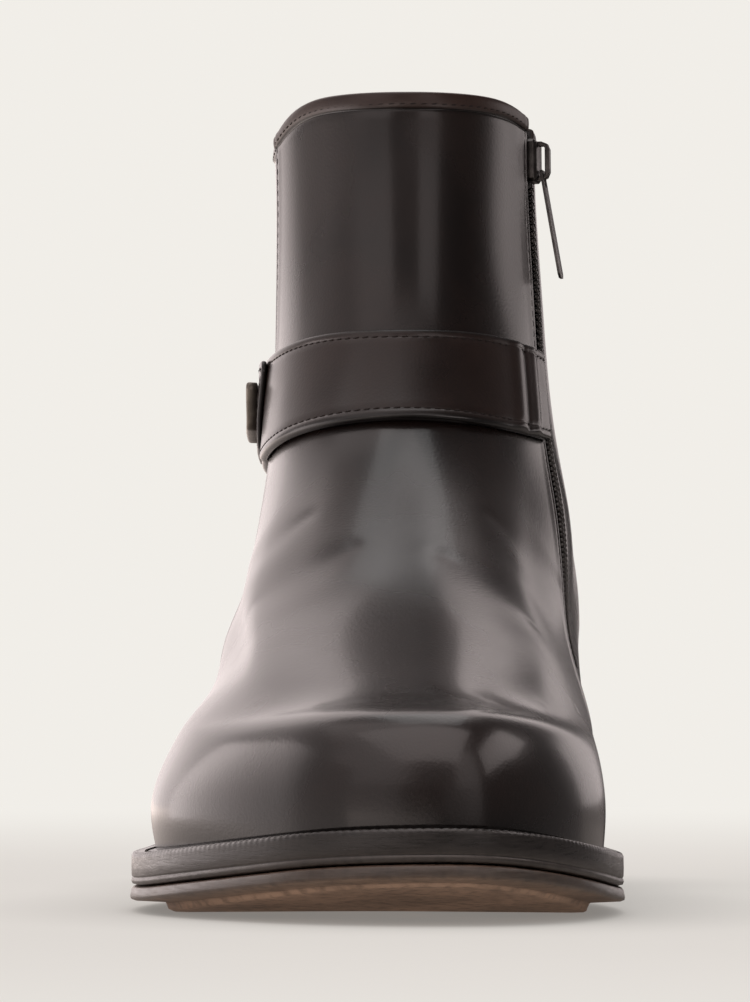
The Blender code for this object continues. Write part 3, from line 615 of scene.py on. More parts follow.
@dataclass(frozen=True)
class Leather:
    """Polished hide: two shades in clouds, darker edges and painted shade in recesses, fine grain under a
    clear gloss.
    """

    name: str
    deep: Colour
    warm: Colour
    # colour of the darkening mark: darker edges, and painted shade in recesses
    edge: Colour = (0.0035, 0.0025, 0.0022)
    rough_low: float = 0.24
    rough_high: float = 0.29
    coat: float = 0.4
    coat_rough: float = 0.14
    cloud_scale: float = 26.0
    pebble_scale: float = 1500.0
    wave_scale: float = 45.0
    wave_share: float = 0.25
    depth: float = 0.000022

    def make(self) -> Material:
        """Builds the material. Its darkening mesh mark darkens edges and seams and paints shade into recesses
        such as the zip channel.
        """
        material, desk, surface, place = new_material(self.name)
        clouds = desk.group(EFFECTS.clouds, Vector=place, Scale=self.cloud_scale)[0]
        fine = desk.group(EFFECTS.clouds, Vector=place, Scale=self.cloud_scale * 9, Low=0.3, High=0.75)[0]
        grain = desk.group(
            EFFECTS.grain, Vector=place, Pebble_Scale=self.pebble_scale, Wave_Scale=self.wave_scale,
            Wave_Share=self.wave_share)[0]
        shade = desk.maths("MULTIPLY", clouds, desk.spread(fine, 0, 1, 0.7, 1.0))
        tone = desk.blend(shade, self.deep, self.warm)
        desk.fill(surface, {
            "Base Color": desk.blend(desk.mark("edge_paint_and_shade"), tone, self.edge),
            "Roughness": desk.spread(clouds, 0.0, 1.0, self.rough_low, self.rough_high),
            "Normal": desk.bump(grain, self.depth),
            "Coat Weight": self.coat, "Coat Roughness": self.coat_rough})
        return material


@dataclass(frozen=True)
class SoleEdge:
    """Trimmed and waxed edge of the sole, with layers, tool streaks, a lighter underside of uncoloured,
    scuffed leather and lighter painted highlight lines along its layer edges.
    """

    name: str
    deep: Colour
    warm: Colour
    bare_and_highlight: Colour
    rough: float = 0.38
    coat: float = 0.15
    coat_rough: float = 0.3
    depth: float = 0.00012

    def make(self) -> Material:
        """Builds the material. Its lighter mesh mark shows uncoloured leather, and also paints highlight
        lines along the layer edges.
        """
        material, desk, surface, place = new_material(self.name)
        streaks = desk.group(EFFECTS.fibres, Vector=place, Stretch=(0.12, 0.12, 1.0), Scale=1500.0)
        clouds = desk.group(EFFECTS.clouds, Vector=place, Scale=45.0)[0]
        flecks = desk.group(EFFECTS.clouds, Vector=place, Scale=420.0, Low=0.42, High=0.7)[0]
        tone = desk.blend(streaks["Mask"], self.deep, self.warm)
        light_tone = desk.blend(flecks, self.bare_and_highlight, tuple(c * 0.62 for c in self.bare_and_highlight))
        share = desk.maths("MULTIPLY", desk.mark("bare_and_highlight"), desk.spread(clouds, 0, 1, 0.72, 1.0))
        rough = desk.spread(streaks["Mask"], 0.0, 1.0, self.rough, self.rough + 0.2)
        desk.fill(surface, {
            "Base Color": desk.blend(share, tone, light_tone),
            "Roughness": desk.maths("ADD", rough, desk.maths("MULTIPLY", share, 0.2)),
            "Normal": desk.bump(streaks["Height"], self.depth),
            "Coat Weight": self.coat, "Coat Roughness": self.coat_rough})
        return material


@dataclass(frozen=True)
class Metal:
    """Brushed metal with a faint tarnish."""

    name: str
    shade: Colour
    tarnish: Colour
    stretch: Size = (1.0, 0.05, 1.0)
    rough: float = 0.26
    depth: float = 0.00002

    def make(self) -> Material:
        """Builds the material."""
        material, desk, surface, place = new_material(self.name)
        lines = desk.group(EFFECTS.fibres, Vector=place, Stretch=self.stretch, Scale=4200.0)
        clouds = desk.group(EFFECTS.clouds, Vector=place, Scale=260.0)[0]
        desk.fill(surface, {
            "Base Color": desk.blend(clouds, self.shade, self.tarnish),
            "Roughness": desk.spread(lines["Mask"], 0.0, 1.0, self.rough, self.rough + 0.16),
            "Normal": desk.bump(lines["Height"], self.depth, 0.6), "Metallic": 1.0})
        return material


@dataclass(frozen=True)
class Woven:
    """Woven tape or twisted thread: crossing ribs with a dry surface."""

    name: str
    deep: Colour
    light: Colour
    rib: float = 0.0009
    depth: float = 0.00015
    rough: float = 0.75

    def make(self) -> Material:
        """Builds the material."""
        material, desk, surface, place = new_material(self.name)
        wave = {"Vector": place, "Scale": 0.314 / self.rib, "Distortion": 0.6}
        ribs = [desk.add("ShaderNodeTexWave", wave, bands_direction=d).outputs["Fac"] for d in ("X", "Z")]
        weave = desk.maths("MULTIPLY", *ribs)
        fuzz = desk.group(EFFECTS.clouds, Vector=place, Scale=700.0)[0]
        shade = desk.maths("MULTIPLY", weave, desk.spread(fuzz, 0, 1, 0.6, 1.0))
        desk.fill(surface, {
            "Base Color": desk.blend(shade, self.deep, self.light),
            "Roughness": desk.spread(fuzz, 0, 1, self.rough, self.rough + 0.15),
            "Normal": desk.bump(weave, self.depth, 0.8)})
        return material


class Finishes:
    """Every finish of the boot, made once."""

    def __init__(self) -> None:
        """Builds the materials."""
        self.hide = Leather("upper_hide", (0.0062, 0.0040, 0.0036), (0.0165, 0.0085, 0.0068)).make()
        self.strap = Leather(
            "strap_hide", (0.0125, 0.0068, 0.0055), (0.024, 0.0112, 0.0085), rough_low=0.25,
            rough_high=0.36, coat=0.25, wave_scale=70.0).make()
        self.binding = Leather(
            "binding_hide", (0.026, 0.0125, 0.0095), (0.046, 0.021, 0.015), rough_low=0.3,
            rough_high=0.42, coat=0.1).make()
        self.plate = Leather(
            "plate_hide", (0.012, 0.0075, 0.0062), (0.022, 0.012, 0.009), rough_low=0.25,
            rough_high=0.38, coat=0.15).make()
        self.lining = Leather(
            "lining_hide", (0.16, 0.105, 0.068), (0.25, 0.17, 0.112), (0.08, 0.05, 0.034), rough_low=0.55,
            rough_high=0.72, coat=0.0, cloud_scale=40.0, pebble_scale=700.0, depth=0.00008).make()
        self.welt = SoleEdge(
            "welt_edge", (0.010, 0.008, 0.007), (0.024, 0.019, 0.0165), (0.085, 0.068, 0.058), rough=0.24,
            coat=0.4).make()
        self.sole = SoleEdge(
            "sole_edge", (0.030, 0.025, 0.022), (0.062, 0.052, 0.045), (0.55, 0.345, 0.235), rough=0.3,
            coat=0.35).make()
        self.heel = SoleEdge(
            "heel_edge", (0.013, 0.0095, 0.008), (0.030, 0.022, 0.018), (0.016, 0.014, 0.013)).make()
        self.gunmetal = Metal("gunmetal", (0.12, 0.115, 0.11), (0.06, 0.056, 0.054)).make()
        self.taupe_metal = Metal("taupe_metal", (0.19, 0.172, 0.148), (0.125, 0.112, 0.096), rough=0.3).make()
        self.tape = Woven("zip_weave", (0.006, 0.006, 0.006), (0.022, 0.021, 0.021)).make()
        self.thread, self.welt_thread = (
            Woven(name, deep, light, rib=0.0003, depth=0.00005).make()
            for name, deep, light in (
                ("dark_thread", (0.010, 0.006, 0.005), (0.040, 0.023, 0.017)),
                ("welt_thread", (0.020, 0.014, 0.011), (0.062, 0.046, 0.036))))


class RowMaker:
    """Geometry Nodes tree that sets one small shape again and again along drawn lines."""

    class Shape(Enum):
        """What is repeated."""

        STITCH = "stitch"
        TOOTH = "tooth"

    def __init__(self, shape: "RowMaker.Shape") -> None:
        """Builds the tree for one shape."""
        self.shape = shape
        self.tree = bpy.data.node_groups.new(shape.value + "_row", "GeometryNodeTree")
        face = self.tree.interface
        join = lambda label, kind: face.new_socket(label, in_out="INPUT", socket_type="NodeSocket" + kind)
        self.sockets = {"Lines": join("Lines", "Geometry")}
        for label in ("Pitch", "Length", "Width", "Height", "Slant"):
            self.sockets[label] = join(label, "Float")
        self.sockets["Finish"] = join("Finish", "Material")
        face.new_socket("Row", in_out="OUTPUT", socket_type="NodeSocketGeometry")
        self.wire()

    def wire(self) -> None:
        """Lays out the tree's nodes."""
        desk = NodeDesk(self.tree)
        leave, entry = desk.add("NodeGroupOutput"), desk.add("NodeGroupInput").outputs
        line = desk.add("GeometryNodeMeshToCurve", {"Mesh": entry["Lines"]})
        spots = desk.add(
            "GeometryNodeResampleCurve", {"Curve": line.outputs[0], "Length": entry["Pitch"]}, mode="LENGTH")
        lift = desk.add("GeometryNodeInputNamedAttribute", {"Name": "lift"}, data_type="FLOAT_VECTOR")
        ahead = desk.add("GeometryNodeInputTangent")
        along = desk.add("FunctionNodeAlignRotationToVector", {"Vector": ahead.outputs[0]}, axis="X")
        upright = desk.add(
            "FunctionNodeAlignRotationToVector",
            {"Rotation": along.outputs[0], "Vector": lift.outputs[0]}, axis="Z", pivot_axis="X")
        tilt = desk.add("ShaderNodeCombineXYZ", {"Z": entry["Slant"]})
        turned = desk.add(
            "FunctionNodeRotateRotation", {0: upright.outputs[0], 1: tilt.outputs[0]}, rotation_space="LOCAL")
        size = desk.add(
            "ShaderNodeCombineXYZ", {"X": entry["Length"], "Y": entry["Width"], "Z": entry["Height"]})
        if self.shape is RowMaker.Shape.STITCH:
            unit = desk.add("GeometryNodeMeshUVSphere", {"Segments": 6, "Rings": 5, "Radius": 0.5}).outputs[0]
        else:
            block = desk.add("GeometryNodeMeshCube", {"Size": (1.0, 1.0, 1.0)}).outputs[0]
            unit = desk.add(
                "GeometryNodeSubdivisionSurface", {"Mesh": block, "Level": 1, "Edge Crease": 0.72}).outputs[0]
        row = desk.add(
            "GeometryNodeInstanceOnPoints",
            {"Points": spots.outputs[0], "Instance": unit, "Rotation": turned.outputs[0],
             "Scale": size.outputs[0]})
        whole = desk.add("GeometryNodeRealizeInstances", {"Geometry": row.outputs[0]})
        smooth = desk.add("GeometryNodeSetShadeSmooth", {"Geometry": whole.outputs[0]})
        dressed = desk.add(
            "GeometryNodeSetMaterial", {"Geometry": smooth.outputs[0], "Material": entry["Finish"]})
        desk.fill(leave, {0: dressed.outputs[0]})

    def run(
        self, name: str, lines: Sequence[tuple[np.ndarray, np.ndarray]], finish: Material,
        pitch: float, size: Size, slant: float = 0.0,
    ) -> Object:
        """Makes one piece of all the shapes along lines.

        Args:
            name: name of the piece.
            lines: for each line its points (x, t, z) in mm and the outward direction at each.
            finish: material of the shapes.
            pitch: mm from one shape to the next.
            size: length along the line, width and height of a shape in mm.
            slant: turn of each shape about its outward direction, in radians.

        Returns:
            The piece as a plain mesh.
        """
        points = np.concatenate([FORM.world(p) for p, _ in lines])
        lifts = np.concatenate([FORM.world_direction(n) for _, n in lines])
        edges, start = [], 0
        for place, _ in lines:
            edges += [(start + k, start + k + 1) for k in range(len(place) - 1)]
            start += len(place)
        drawn = bpy.data.meshes.new(name + "_lines")
        drawn.from_pydata(points.tolist(), edges, [])
        drawn.attributes.new("lift", "FLOAT_VECTOR", "POINT").data.foreach_set(
            "vector", lifts.astype(np.float32).ravel())
        source = placed(name + "_lines", drawn)
        nodes = source.modifiers.new("row", "NODES")
        nodes.node_group = self.tree
        values = dict(zip(("Pitch", "Length", "Width", "Height"), (v * MM for v in (pitch, *size))))
        values |= {"Slant": slant, "Finish": finish}
        for label, value in values.items():
            nodes[self.sockets[label].identifier] = value
        graph = bpy.context.evaluated_depsgraph_get()
        mesh = bpy.data.meshes.new_from_object(source.evaluated_get(graph), depsgraph=graph)
        mesh.name = name
        source.modifiers.remove(nodes)
        bpy.data.objects.remove(source)
        return placed(name, mesh)


@dataclass(frozen=True)
class Crease:
    """One soft fold of the hide between two spots of the upper, in rows and degrees."""

    row_from: float
    turn_from: float
    row_to: float
    turn_to: float
    half: float
    depth: float


@dataclass
class Upper:
    """Hollow leather upper: front panel over rear quarter, bound collar, open zip channel, lining."""

    stitches: RowMaker
    zip_half: float = 5.0
    edge_run: float = 0.55
    edge_lap: float = 0.12
    fold_rise: float = 0.16
    stitch_sink: tuple[float, float] = (0.16, 0.14)
    stitch_half: float = 0.42
    rear_inset: float = 2.1
    channel_from: float = -1.2
    binding_deep: float = 3.2
    binding_roll: float = 0.5
    binding_tuck: float = 0.35
    wave_deep: float = 0.085
    ridge_hollow: float = 0.1
    rim_round: float = 0.7
    stitch_inset: float = 1.7
    stitch_pitch: float = 2.5
    stitch_size: Size = (1.6, 0.32, 0.22)
    stitch_slant: float = 0.12
    outer_rows: int = 156
    inner_rows: int = 34
    front_columns: int = 74
    rear_columns: int = 48
    creases: tuple[Crease, ...] = (
        Crease(152, 30, 118, 66, 6.0, 0.16),
        Crease(140, 14, 108, 44, 7.0, 0.14),
        Crease(152, 328, 118, 292, 6.0, 0.14),
        Crease(136, 347, 100, 318, 7.0, 0.2),
        Crease(47, 347, 48, 9, 2.6, 0.07),
    )

    def columns(self, s: float) -> tuple[np.ndarray, np.ndarray]:
        """Angles of one row's columns and how far each lies from the flat of the panels.

        Args:
            s: the row.

        Returns:
            Angles, and offsets in mm.
        """
        steps = (EDGE_STEPS - self.zip_half, CHANNEL_STEPS, REAR_STEPS + self.zip_half)
        edge = np.unique(np.round(np.concatenate(steps), 3))
        seam, zipper = FORM.seam(s, EDGE_STEPS, Side.LATERAL), FORM.seam(s, edge[::-1], Side.MEDIAL)
        share = lambda a, b, n: a + (b - a) * np.arange(n) / n
        angles = np.concatenate((
            share(0.0, seam[0], self.front_columns), seam,
            share(seam[-1], math.pi, self.rear_columns)[1:],
            share(math.pi, zipper[0], self.rear_columns), zipper,
            share(zipper[-1], TURN, self.front_columns)[1:]))
        return angles, self.relief(s, angles)

    def relief(self, s: float, angles: np.ndarray) -> np.ndarray:
        """Offsets of the panel edges, the zip channel and the sunk stitch lines along one row."""
        length, middle = FORM.ring_length(s), curve(*SEAM, s)
        back = ((1 - np.cos(angles)) / 2 - middle) * length
        lateral = angles <= math.pi
        step, run, floor = FORM.panel_step, self.edge_run, FORM.zip_floor
        lap, (sink, rear_sink) = self.edge_lap, self.stitch_sink
        swell = lambda d: self.fold_rise * ease(d, -4.2, -2.6) * (1 - ease(d, -0.4, 0.0))
        folded = lambda d: swell(d) - sink * hump(d, -self.stitch_inset, self.stitch_half)
        side = -step * ease(back, -lap, run) + folded(back)
        ahead, behind = back + self.zip_half, back - self.zip_half
        deep = -floor + (floor - step) * (1 - ease(s, FORM.zip_end, FORM.zip_end + 2.5))
        rise = -step - rear_sink * hump(behind, self.rear_inset, self.stitch_half)
        channel = deep * ease(ahead, -lap, run) + (rise - deep) * ease(behind, -run, lap) + folded(ahead)
        return np.where(lateral, side, channel)

    def folds(self, s: np.ndarray, angles: np.ndarray, points: np.ndarray) -> np.ndarray:
        """Soft creases and slow waves of the hide, in mm off the flat.

        Args:
            s: rows of the grid.
            angles: angles of the grid.
            points: the grid's points.

        Returns:
            Offsets of the grid's shape.
        """
        offset = np.zeros(s.shape)
        flat = points.reshape(-1, 3)
        for fold in self.creases:
            share = np.linspace(0, 1, 15)
            line = FORM.shell(fold.row_from + (fold.row_to - fold.row_from) * share,
                              np.radians(fold.turn_from + (fold.turn_to - fold.turn_from) * share))
            reach = np.full(len(flat), np.inf)
            for spot, along in zip(line, share):
                taper = 1 + 1.6 * abs(2 * along - 1) ** 3
                reach = np.minimum(reach, np.linalg.norm(flat - spot, axis=1) * taper)
            d = reach.reshape(s.shape) / fold.half
            offset += fold.depth * (-np.exp(-(d**2)) + 0.45 * np.exp(-((d - 1.9) ** 2)))
        x, t, z = np.moveaxis(points, -1, 0)
        slow = np.sin(z / 11.0 + 0.06 * x + 1.1) * np.sin(x / 9.5 + 0.4)
        slow = slow + 0.7 * np.sin(t / 17.0 + x / 13.0 + z / 21.0)
        shaft = ease(s, 165, 190)
        offset += self.wave_deep * slow * (0.35 + 0.65 * shaft) * ease(s, 14, 60)
        offset -= self.ridge_hollow * shaft * hump(x, 0.9, 3.0) * (np.cos(angles) > 0)
        return offset

    def build(self, finishes: Finishes) -> None:
        """Makes the shell, its lining, binding and stitches."""
        bind = FORM.top - self.binding_deep
        low = FORM.top * np.linspace(0, 1, self.outer_rows) ** 1.12
        rows = np.concatenate((low[low < bind - 1.4], bind + HEM_STEPS, [FORM.top]))
        angles, offsets = map(np.array, zip(*(self.columns(float(s)) for s in rows)))
        s = np.broadcast_to(rows[:, None], angles.shape)
        edge_marks = hump(offsets, -0.45, 0.28)
        offsets = offsets + self.folds(s, angles, FORM.shell(s, angles)) * (offsets > self.channel_from)
        channel = offsets < self.channel_from
        bound = s >= bind - 0.05
        roll = self.binding_roll * np.sqrt(np.clip(1 - ((s - bind - 1.9) / 2.2) ** 2, 0, 1)) * bound
        tuck = -self.binding_tuck * hump(s, bind - 0.25, 0.3)
        offsets = np.where(channel, offsets, offsets + roll + tuck)
        outer = FORM.skin(s, angles, offsets)
        outer[0, :, 2] = FORM.sole_top(outer[0, :, 1]) + FORM.gap
        last, count = offsets[-1], angles.shape[1]
        rim = []
        for turn in np.linspace(0.15, 0.85, 6) * math.pi:
            across = (1 - math.cos(turn)) / 2
            out = np.maximum(last, -FORM.zip_floor) * (1 - across) - FORM.wall * across
            rise = np.array((0, 0, self.rim_round * math.sin(turn)))
            rim.append(FORM.skin(FORM.top, angles[-1], out) + rise)
        inner_s = FORM.top * np.linspace(1, 0, self.inner_rows)
        inner_angles = np.array([self.columns(float(v))[0] for v in inner_s])
        inner = FORM.skin(np.broadcast_to(inner_s[:, None], inner_angles.shape), inner_angles, -FORM.wall)
        inner[-1, :, 2] = FORM.sole_top(inner[-1, :, 1]) + FORM.gap
        points = np.concatenate((outer, np.array(rim), inner)).reshape(-1, 3)
        total = len(rows) + len(rim) + len(inner)
        faces = grid_faces(total, count, True, True)
        band = np.repeat(np.arange(total), count)
        binding_from = int(np.argmax(rows >= bind - 0.05))
        choice = np.where(band < binding_from, 0, np.where(band < len(rows) + 4, 1, 2))
        choice = np.where(band == total - 1, 2, choice)
        # Darkening mark: darker panel edges, darker towards the welt and along the tuck under the binding.
        edge_paint_and_shade = np.zeros((total, count))
        foot = np.exp(-rows / 5.0)[:, None]
        edge_paint_and_shade[: len(rows)] = np.clip(edge_marks + 0.8 * foot + 0.7 * hump(s, bind - 0.2, 0.5), 0, 1)
        # Painted shade: the whole zip channel is made fully dark for the shade in its recess.
        edge_paint_and_shade[: len(rows)][channel] = 1.0
        looks = (finishes.hide, finishes.binding, finishes.lining)
        shell = make_piece("upper_shell", points, faces, looks, {"edge_paint_and_shade": edge_paint_and_shade}, choice)
        settle(shell, Body.BOOT, "upper_leather", "upper")
        self.sew(finishes)

    def sew(self, finishes: Finishes) -> None:
        """Makes the stitch rows of the seams, the zip and the collar."""
        lines = []
        for side, back, base, low in (
            (Side.LATERAL, -self.stitch_inset, 0.0, 6.0),
            (Side.MEDIAL, -self.zip_half - self.stitch_inset, 0.0, 6.0),
            (Side.MEDIAL, self.zip_half + self.rear_inset, -FORM.panel_step - 0.08, FORM.zip_end - 3),
        ):
            s = np.linspace(low, FORM.top - self.binding_deep - 1.2, 160)
            angle = FORM.seam(s, back, side)
            lines.append((FORM.skin(s, angle, base + 0.04), FORM.normal(s, angle)))
        angle = np.linspace(FORM.seam(FORM.top, -self.zip_half - 1, Side.MEDIAL) - TURN,
                            FORM.seam(FORM.top, self.zip_half + 1, Side.MEDIAL), 260)
        s = np.full(angle.shape, FORM.top - self.binding_deep + 0.9)
        drop = np.where((angle > FORM.seam(s, 0.0, Side.LATERAL)), -FORM.panel_step, 0.0)
        lines.append((FORM.skin(s, angle, drop + 0.46), FORM.normal(s, angle)))
        rows = self.stitches.run(
            "upper_stitches", lines, finishes.thread, self.stitch_pitch, self.stitch_size, self.stitch_slant)
        settle(rows, Body.BOOT, "upper_leather")


@dataclass
class Sole:
    """Welt with a wheeled rim, layered outsole and stacked heel."""

    stitches: RowMaker
    edge_round: float = 0.8
    lip: float = 0.3
    tread_inset: float = 7.2
    crown_width: float = 11.0
    wheel_pitch: float = 1.9
    wheel_deep: float = 0.15
    columns: int = 1440
    heel_breast: float = 74.0
    breast_hollow: float = 4.0
    breast_lean: float = 1.5
    heel_taper: float = 2.4
    lifts: int = 4
    heel_columns: int = 150
    breast_columns: int = 40
    lift_groove: float = 0.4
    layer_groove: float = 0.4
    stitch_pitch: float = 3.1
    stitch_size: Size = (2.3, 0.62, 0.5)

    def ring(
        self, angle: np.ndarray, grow: Values, height: Callable[[np.ndarray], np.ndarray],
    ) -> np.ndarray:
        """A ring of the sole: its line in plan with a height along the foot."""
        flat = FORM.plan(angle, grow)
        return np.concatenate((flat, height(flat[:, 1])[:, None]), axis=1)

    def lidded(
        self, name: str, rings: Sequence[np.ndarray], material: Material, marks: Sequence[float],
    ) -> Object:
        """A skin through rings, closed at both ends towards the middle line of the foot.

        Args:
            name: name of the piece.
            rings: equal rings, from the top down.
            material: its finish.
            marks: share of the lighter tone on each ring: uncoloured leather, and painted highlight lines.

        Returns:
            The piece.
        """
        count = len(rings[0])
        mirror = (-np.arange(count)) % count
        inner = lambda ring, k: ring + (ring[mirror] - ring) * k
        spread = (0.12, 0.3, 0.42)
        full = [inner(rings[0], k) for k in spread[::-1]] + list(rings)
        full += [inner(rings[-1], k) for k in spread]
        values = [0.0] * len(spread) + list(marks) + [marks[-1]] * len(spread)
        faces = grid_faces(len(full), count, False, True).tolist()
        for row in (0, len(full) - 1):
            ids = [row * count + j for j in range(count)]
            faces += [
                list(dict.fromkeys((ids[j], ids[j + 1], ids[-j - 1], ids[-j % count])))
                for j in range(count // 2)]
        return make_piece(name, np.concatenate(full), faces, (material,), {"bare_and_highlight": np.repeat(values, count)})

    def build(self, finishes: Finishes) -> None:
        """Makes the welt, its stitches, the outsole and the heel."""
        angle = FORM.sole_line(self.columns)
        w, thick, c = FORM.reach(angle), FORM.welt_thick, self.tread_inset
        tuck = w - self.edge_round - self.layer_groove
        front = 1 - ease((1 - np.cos(angle)) / 2, 0.62, 0.72)
        edge = FORM.plan(angle, w)
        run = np.linalg.norm(np.diff(edge, axis=0, append=edge[:1]), axis=1).sum()
        beat = np.cos(np.arange(self.columns) / self.columns * TURN * round(run / self.wheel_pitch))
        notch = self.wheel_deep * front * np.clip(beat, -0.2, 1)
        under = lambda drop: (lambda t: FORM.sole_top(t) - drop)
        welt = (
            (-FORM.wall / 2, 0.0), (0.35, 0.05), (0.9, 0.35), (1.5, 0.1), (w - 1.5, 0.0),
            (w - 0.8, notch * 0.9), (w - 0.3, 0.2 + notch), (w - notch * 0.4, 0.75 + notch * 0.3),
            (w, 1.4), (w + 0.05, 3.2), (w, thick - 2.0), (w - 0.1, thick - 1.75), (w - 0.4, thick - 1.55),
            (w - 0.05, thick - 1.35), (w + 0.05, thick - 0.8), (w - 0.15, thick - 0.25), (tuck, thick))
        rings = [self.ring(angle, grow, under(drop)) for grow, drop in welt]
        # Lighter tone on the welt's lower layers: painted highlight lines along their edges, less in the
        # groove between them.
        bare_and_highlight = [0.0] * 10 + [0.3, 0.7, 0.1, 0.9, 0.5, 0.7, 0.2]
        settle(self.lidded("welt_band", rings, finishes.welt, bare_and_highlight), Body.BOOT, "welt_leather", "welt")
        top = lambda drop: under(thick + FORM.gap + drop)
        low = lambda share, lift=0.0: (lambda t: FORM.underside(t, share) + lift)
        outsole = (
            (tuck, top(0.0)), (w - 0.3, top(0.3)), (w, top(0.7)), (w + self.lip * 0.5, top(1.5)),
            (w + self.lip, low(0.0, 0.8)), (w + self.lip * 0.6, low(0.0, 0.25)), (w - 0.6, low(0.02)),
            (w - c + 0.3, low(0.14)), (w - c, low(0.18)), (w - c - 0.4, low(0.5)), (w - c - 0.7, low(0.86)),
            (w - c - 1.3, low(0.97)), (w - self.crown_width, low(1.0)))
        rings = [self.ring(angle, grow, height) for grow, height in outsole]
        # Lighter tone on the outsole: a painted highlight line along its top edge under the welt, and
        # uncoloured leather on the underside.
        bare_and_highlight = [0.4, 0.3, 0.1, 0.08, 0.1, 0.2, 0.4, 0.6, 0.8, 1.0, 1.0, 1.0, 1.0]
        layers = self.lidded("outsole_layers", rings, finishes.sole, bare_and_highlight)
        settle(layers, Body.BOOT, "sole_leather", "outsole")
        seat = angle[(1 - np.cos(angle)) / 2 < 0.66]
        order = np.argsort(np.where(seat > math.pi, seat - TURN, seat))
        seat = seat[order][::4]
        line = self.ring(seat, FORM.reach(seat) * 0.42, under(-0.03))
        up = np.broadcast_to(np.array((0.0, 0.0, 1.0)), line.shape)
        row = self.stitches.run(
            "welt_stitches", [(line, up)], finishes.welt_thread, self.stitch_pitch, self.stitch_size)
        settle(row, Body.BOOT, "welt_leather")
        settle(self.heel(finishes), Body.BOOT, "heel_stack", "heel")

    def heel_ring(
        self, grow: float, height: Callable[[np.ndarray], np.ndarray], breast: float,
    ) -> np.ndarray:
        """D-shaped line of the heel: the sole's edge behind the breast, then the hollow breast."""
        fine = np.linspace(0, TURN, 1441)
        edge = FORM.plan(fine, FORM.reach(fine) + grow)
        back = edge[edge[:, 1] < breast]
        run = np.append(0.0, np.cumsum(np.linalg.norm(np.diff(back, axis=0), axis=1)))
        even = np.linspace(0, run[-1], self.heel_columns)
        side = np.stack([np.interp(even, run, back[:, k]) for k in (0, 1)], axis=1)
        share = np.linspace(0, 1, self.breast_columns + 1)[1:-1, None]
        front = side[-1] + (side[0] - side[-1]) * share
        front[:, 1] -= self.breast_hollow * 4 * share[:, 0] * (1 - share[:, 0])
        flat = np.concatenate((side, front))
        return np.concatenate((flat, height(flat[:, 1])[:, None]), axis=1)

    def heel(self, finishes: Finishes) -> Object:
        """Makes the stacked heel with a groove between its lifts."""
        top = lambda t: FORM.rim_under(t) - FORM.gap
        groove, rings, bare_and_highlight = self.lift_groove, [], []
        profile = (
            (0.0, groove), (0.05, 0.1), (0.14, 0.0), (0.5, -0.05), (0.86, 0.0), (0.95, 0.1), (1.0, groove))
        for k in range(self.lifts):
            last = k == self.lifts - 1
            for share, inset in profile:
                f = (k + share) / self.lifts
                inset *= 1.9 if last and share > 0.9 else 1.0
                at = lambda t, f=f: np.maximum(top(t) * (1 - f), 0.0)
                breast = self.heel_breast - self.breast_lean * f - inset
                rings.append(self.heel_ring(-self.heel_taper * f - inset, at, breast))
                bare_and_highlight.append(0.9 if last else 0.0)
        faces = capped_faces(len(rings), len(rings[0]))
        marks = {"bare_and_highlight": np.repeat(bare_and_highlight, len(rings[0]))}
        return make_piece("heel_lifts", np.concatenate(rings), faces, (finishes.heel,), marks)


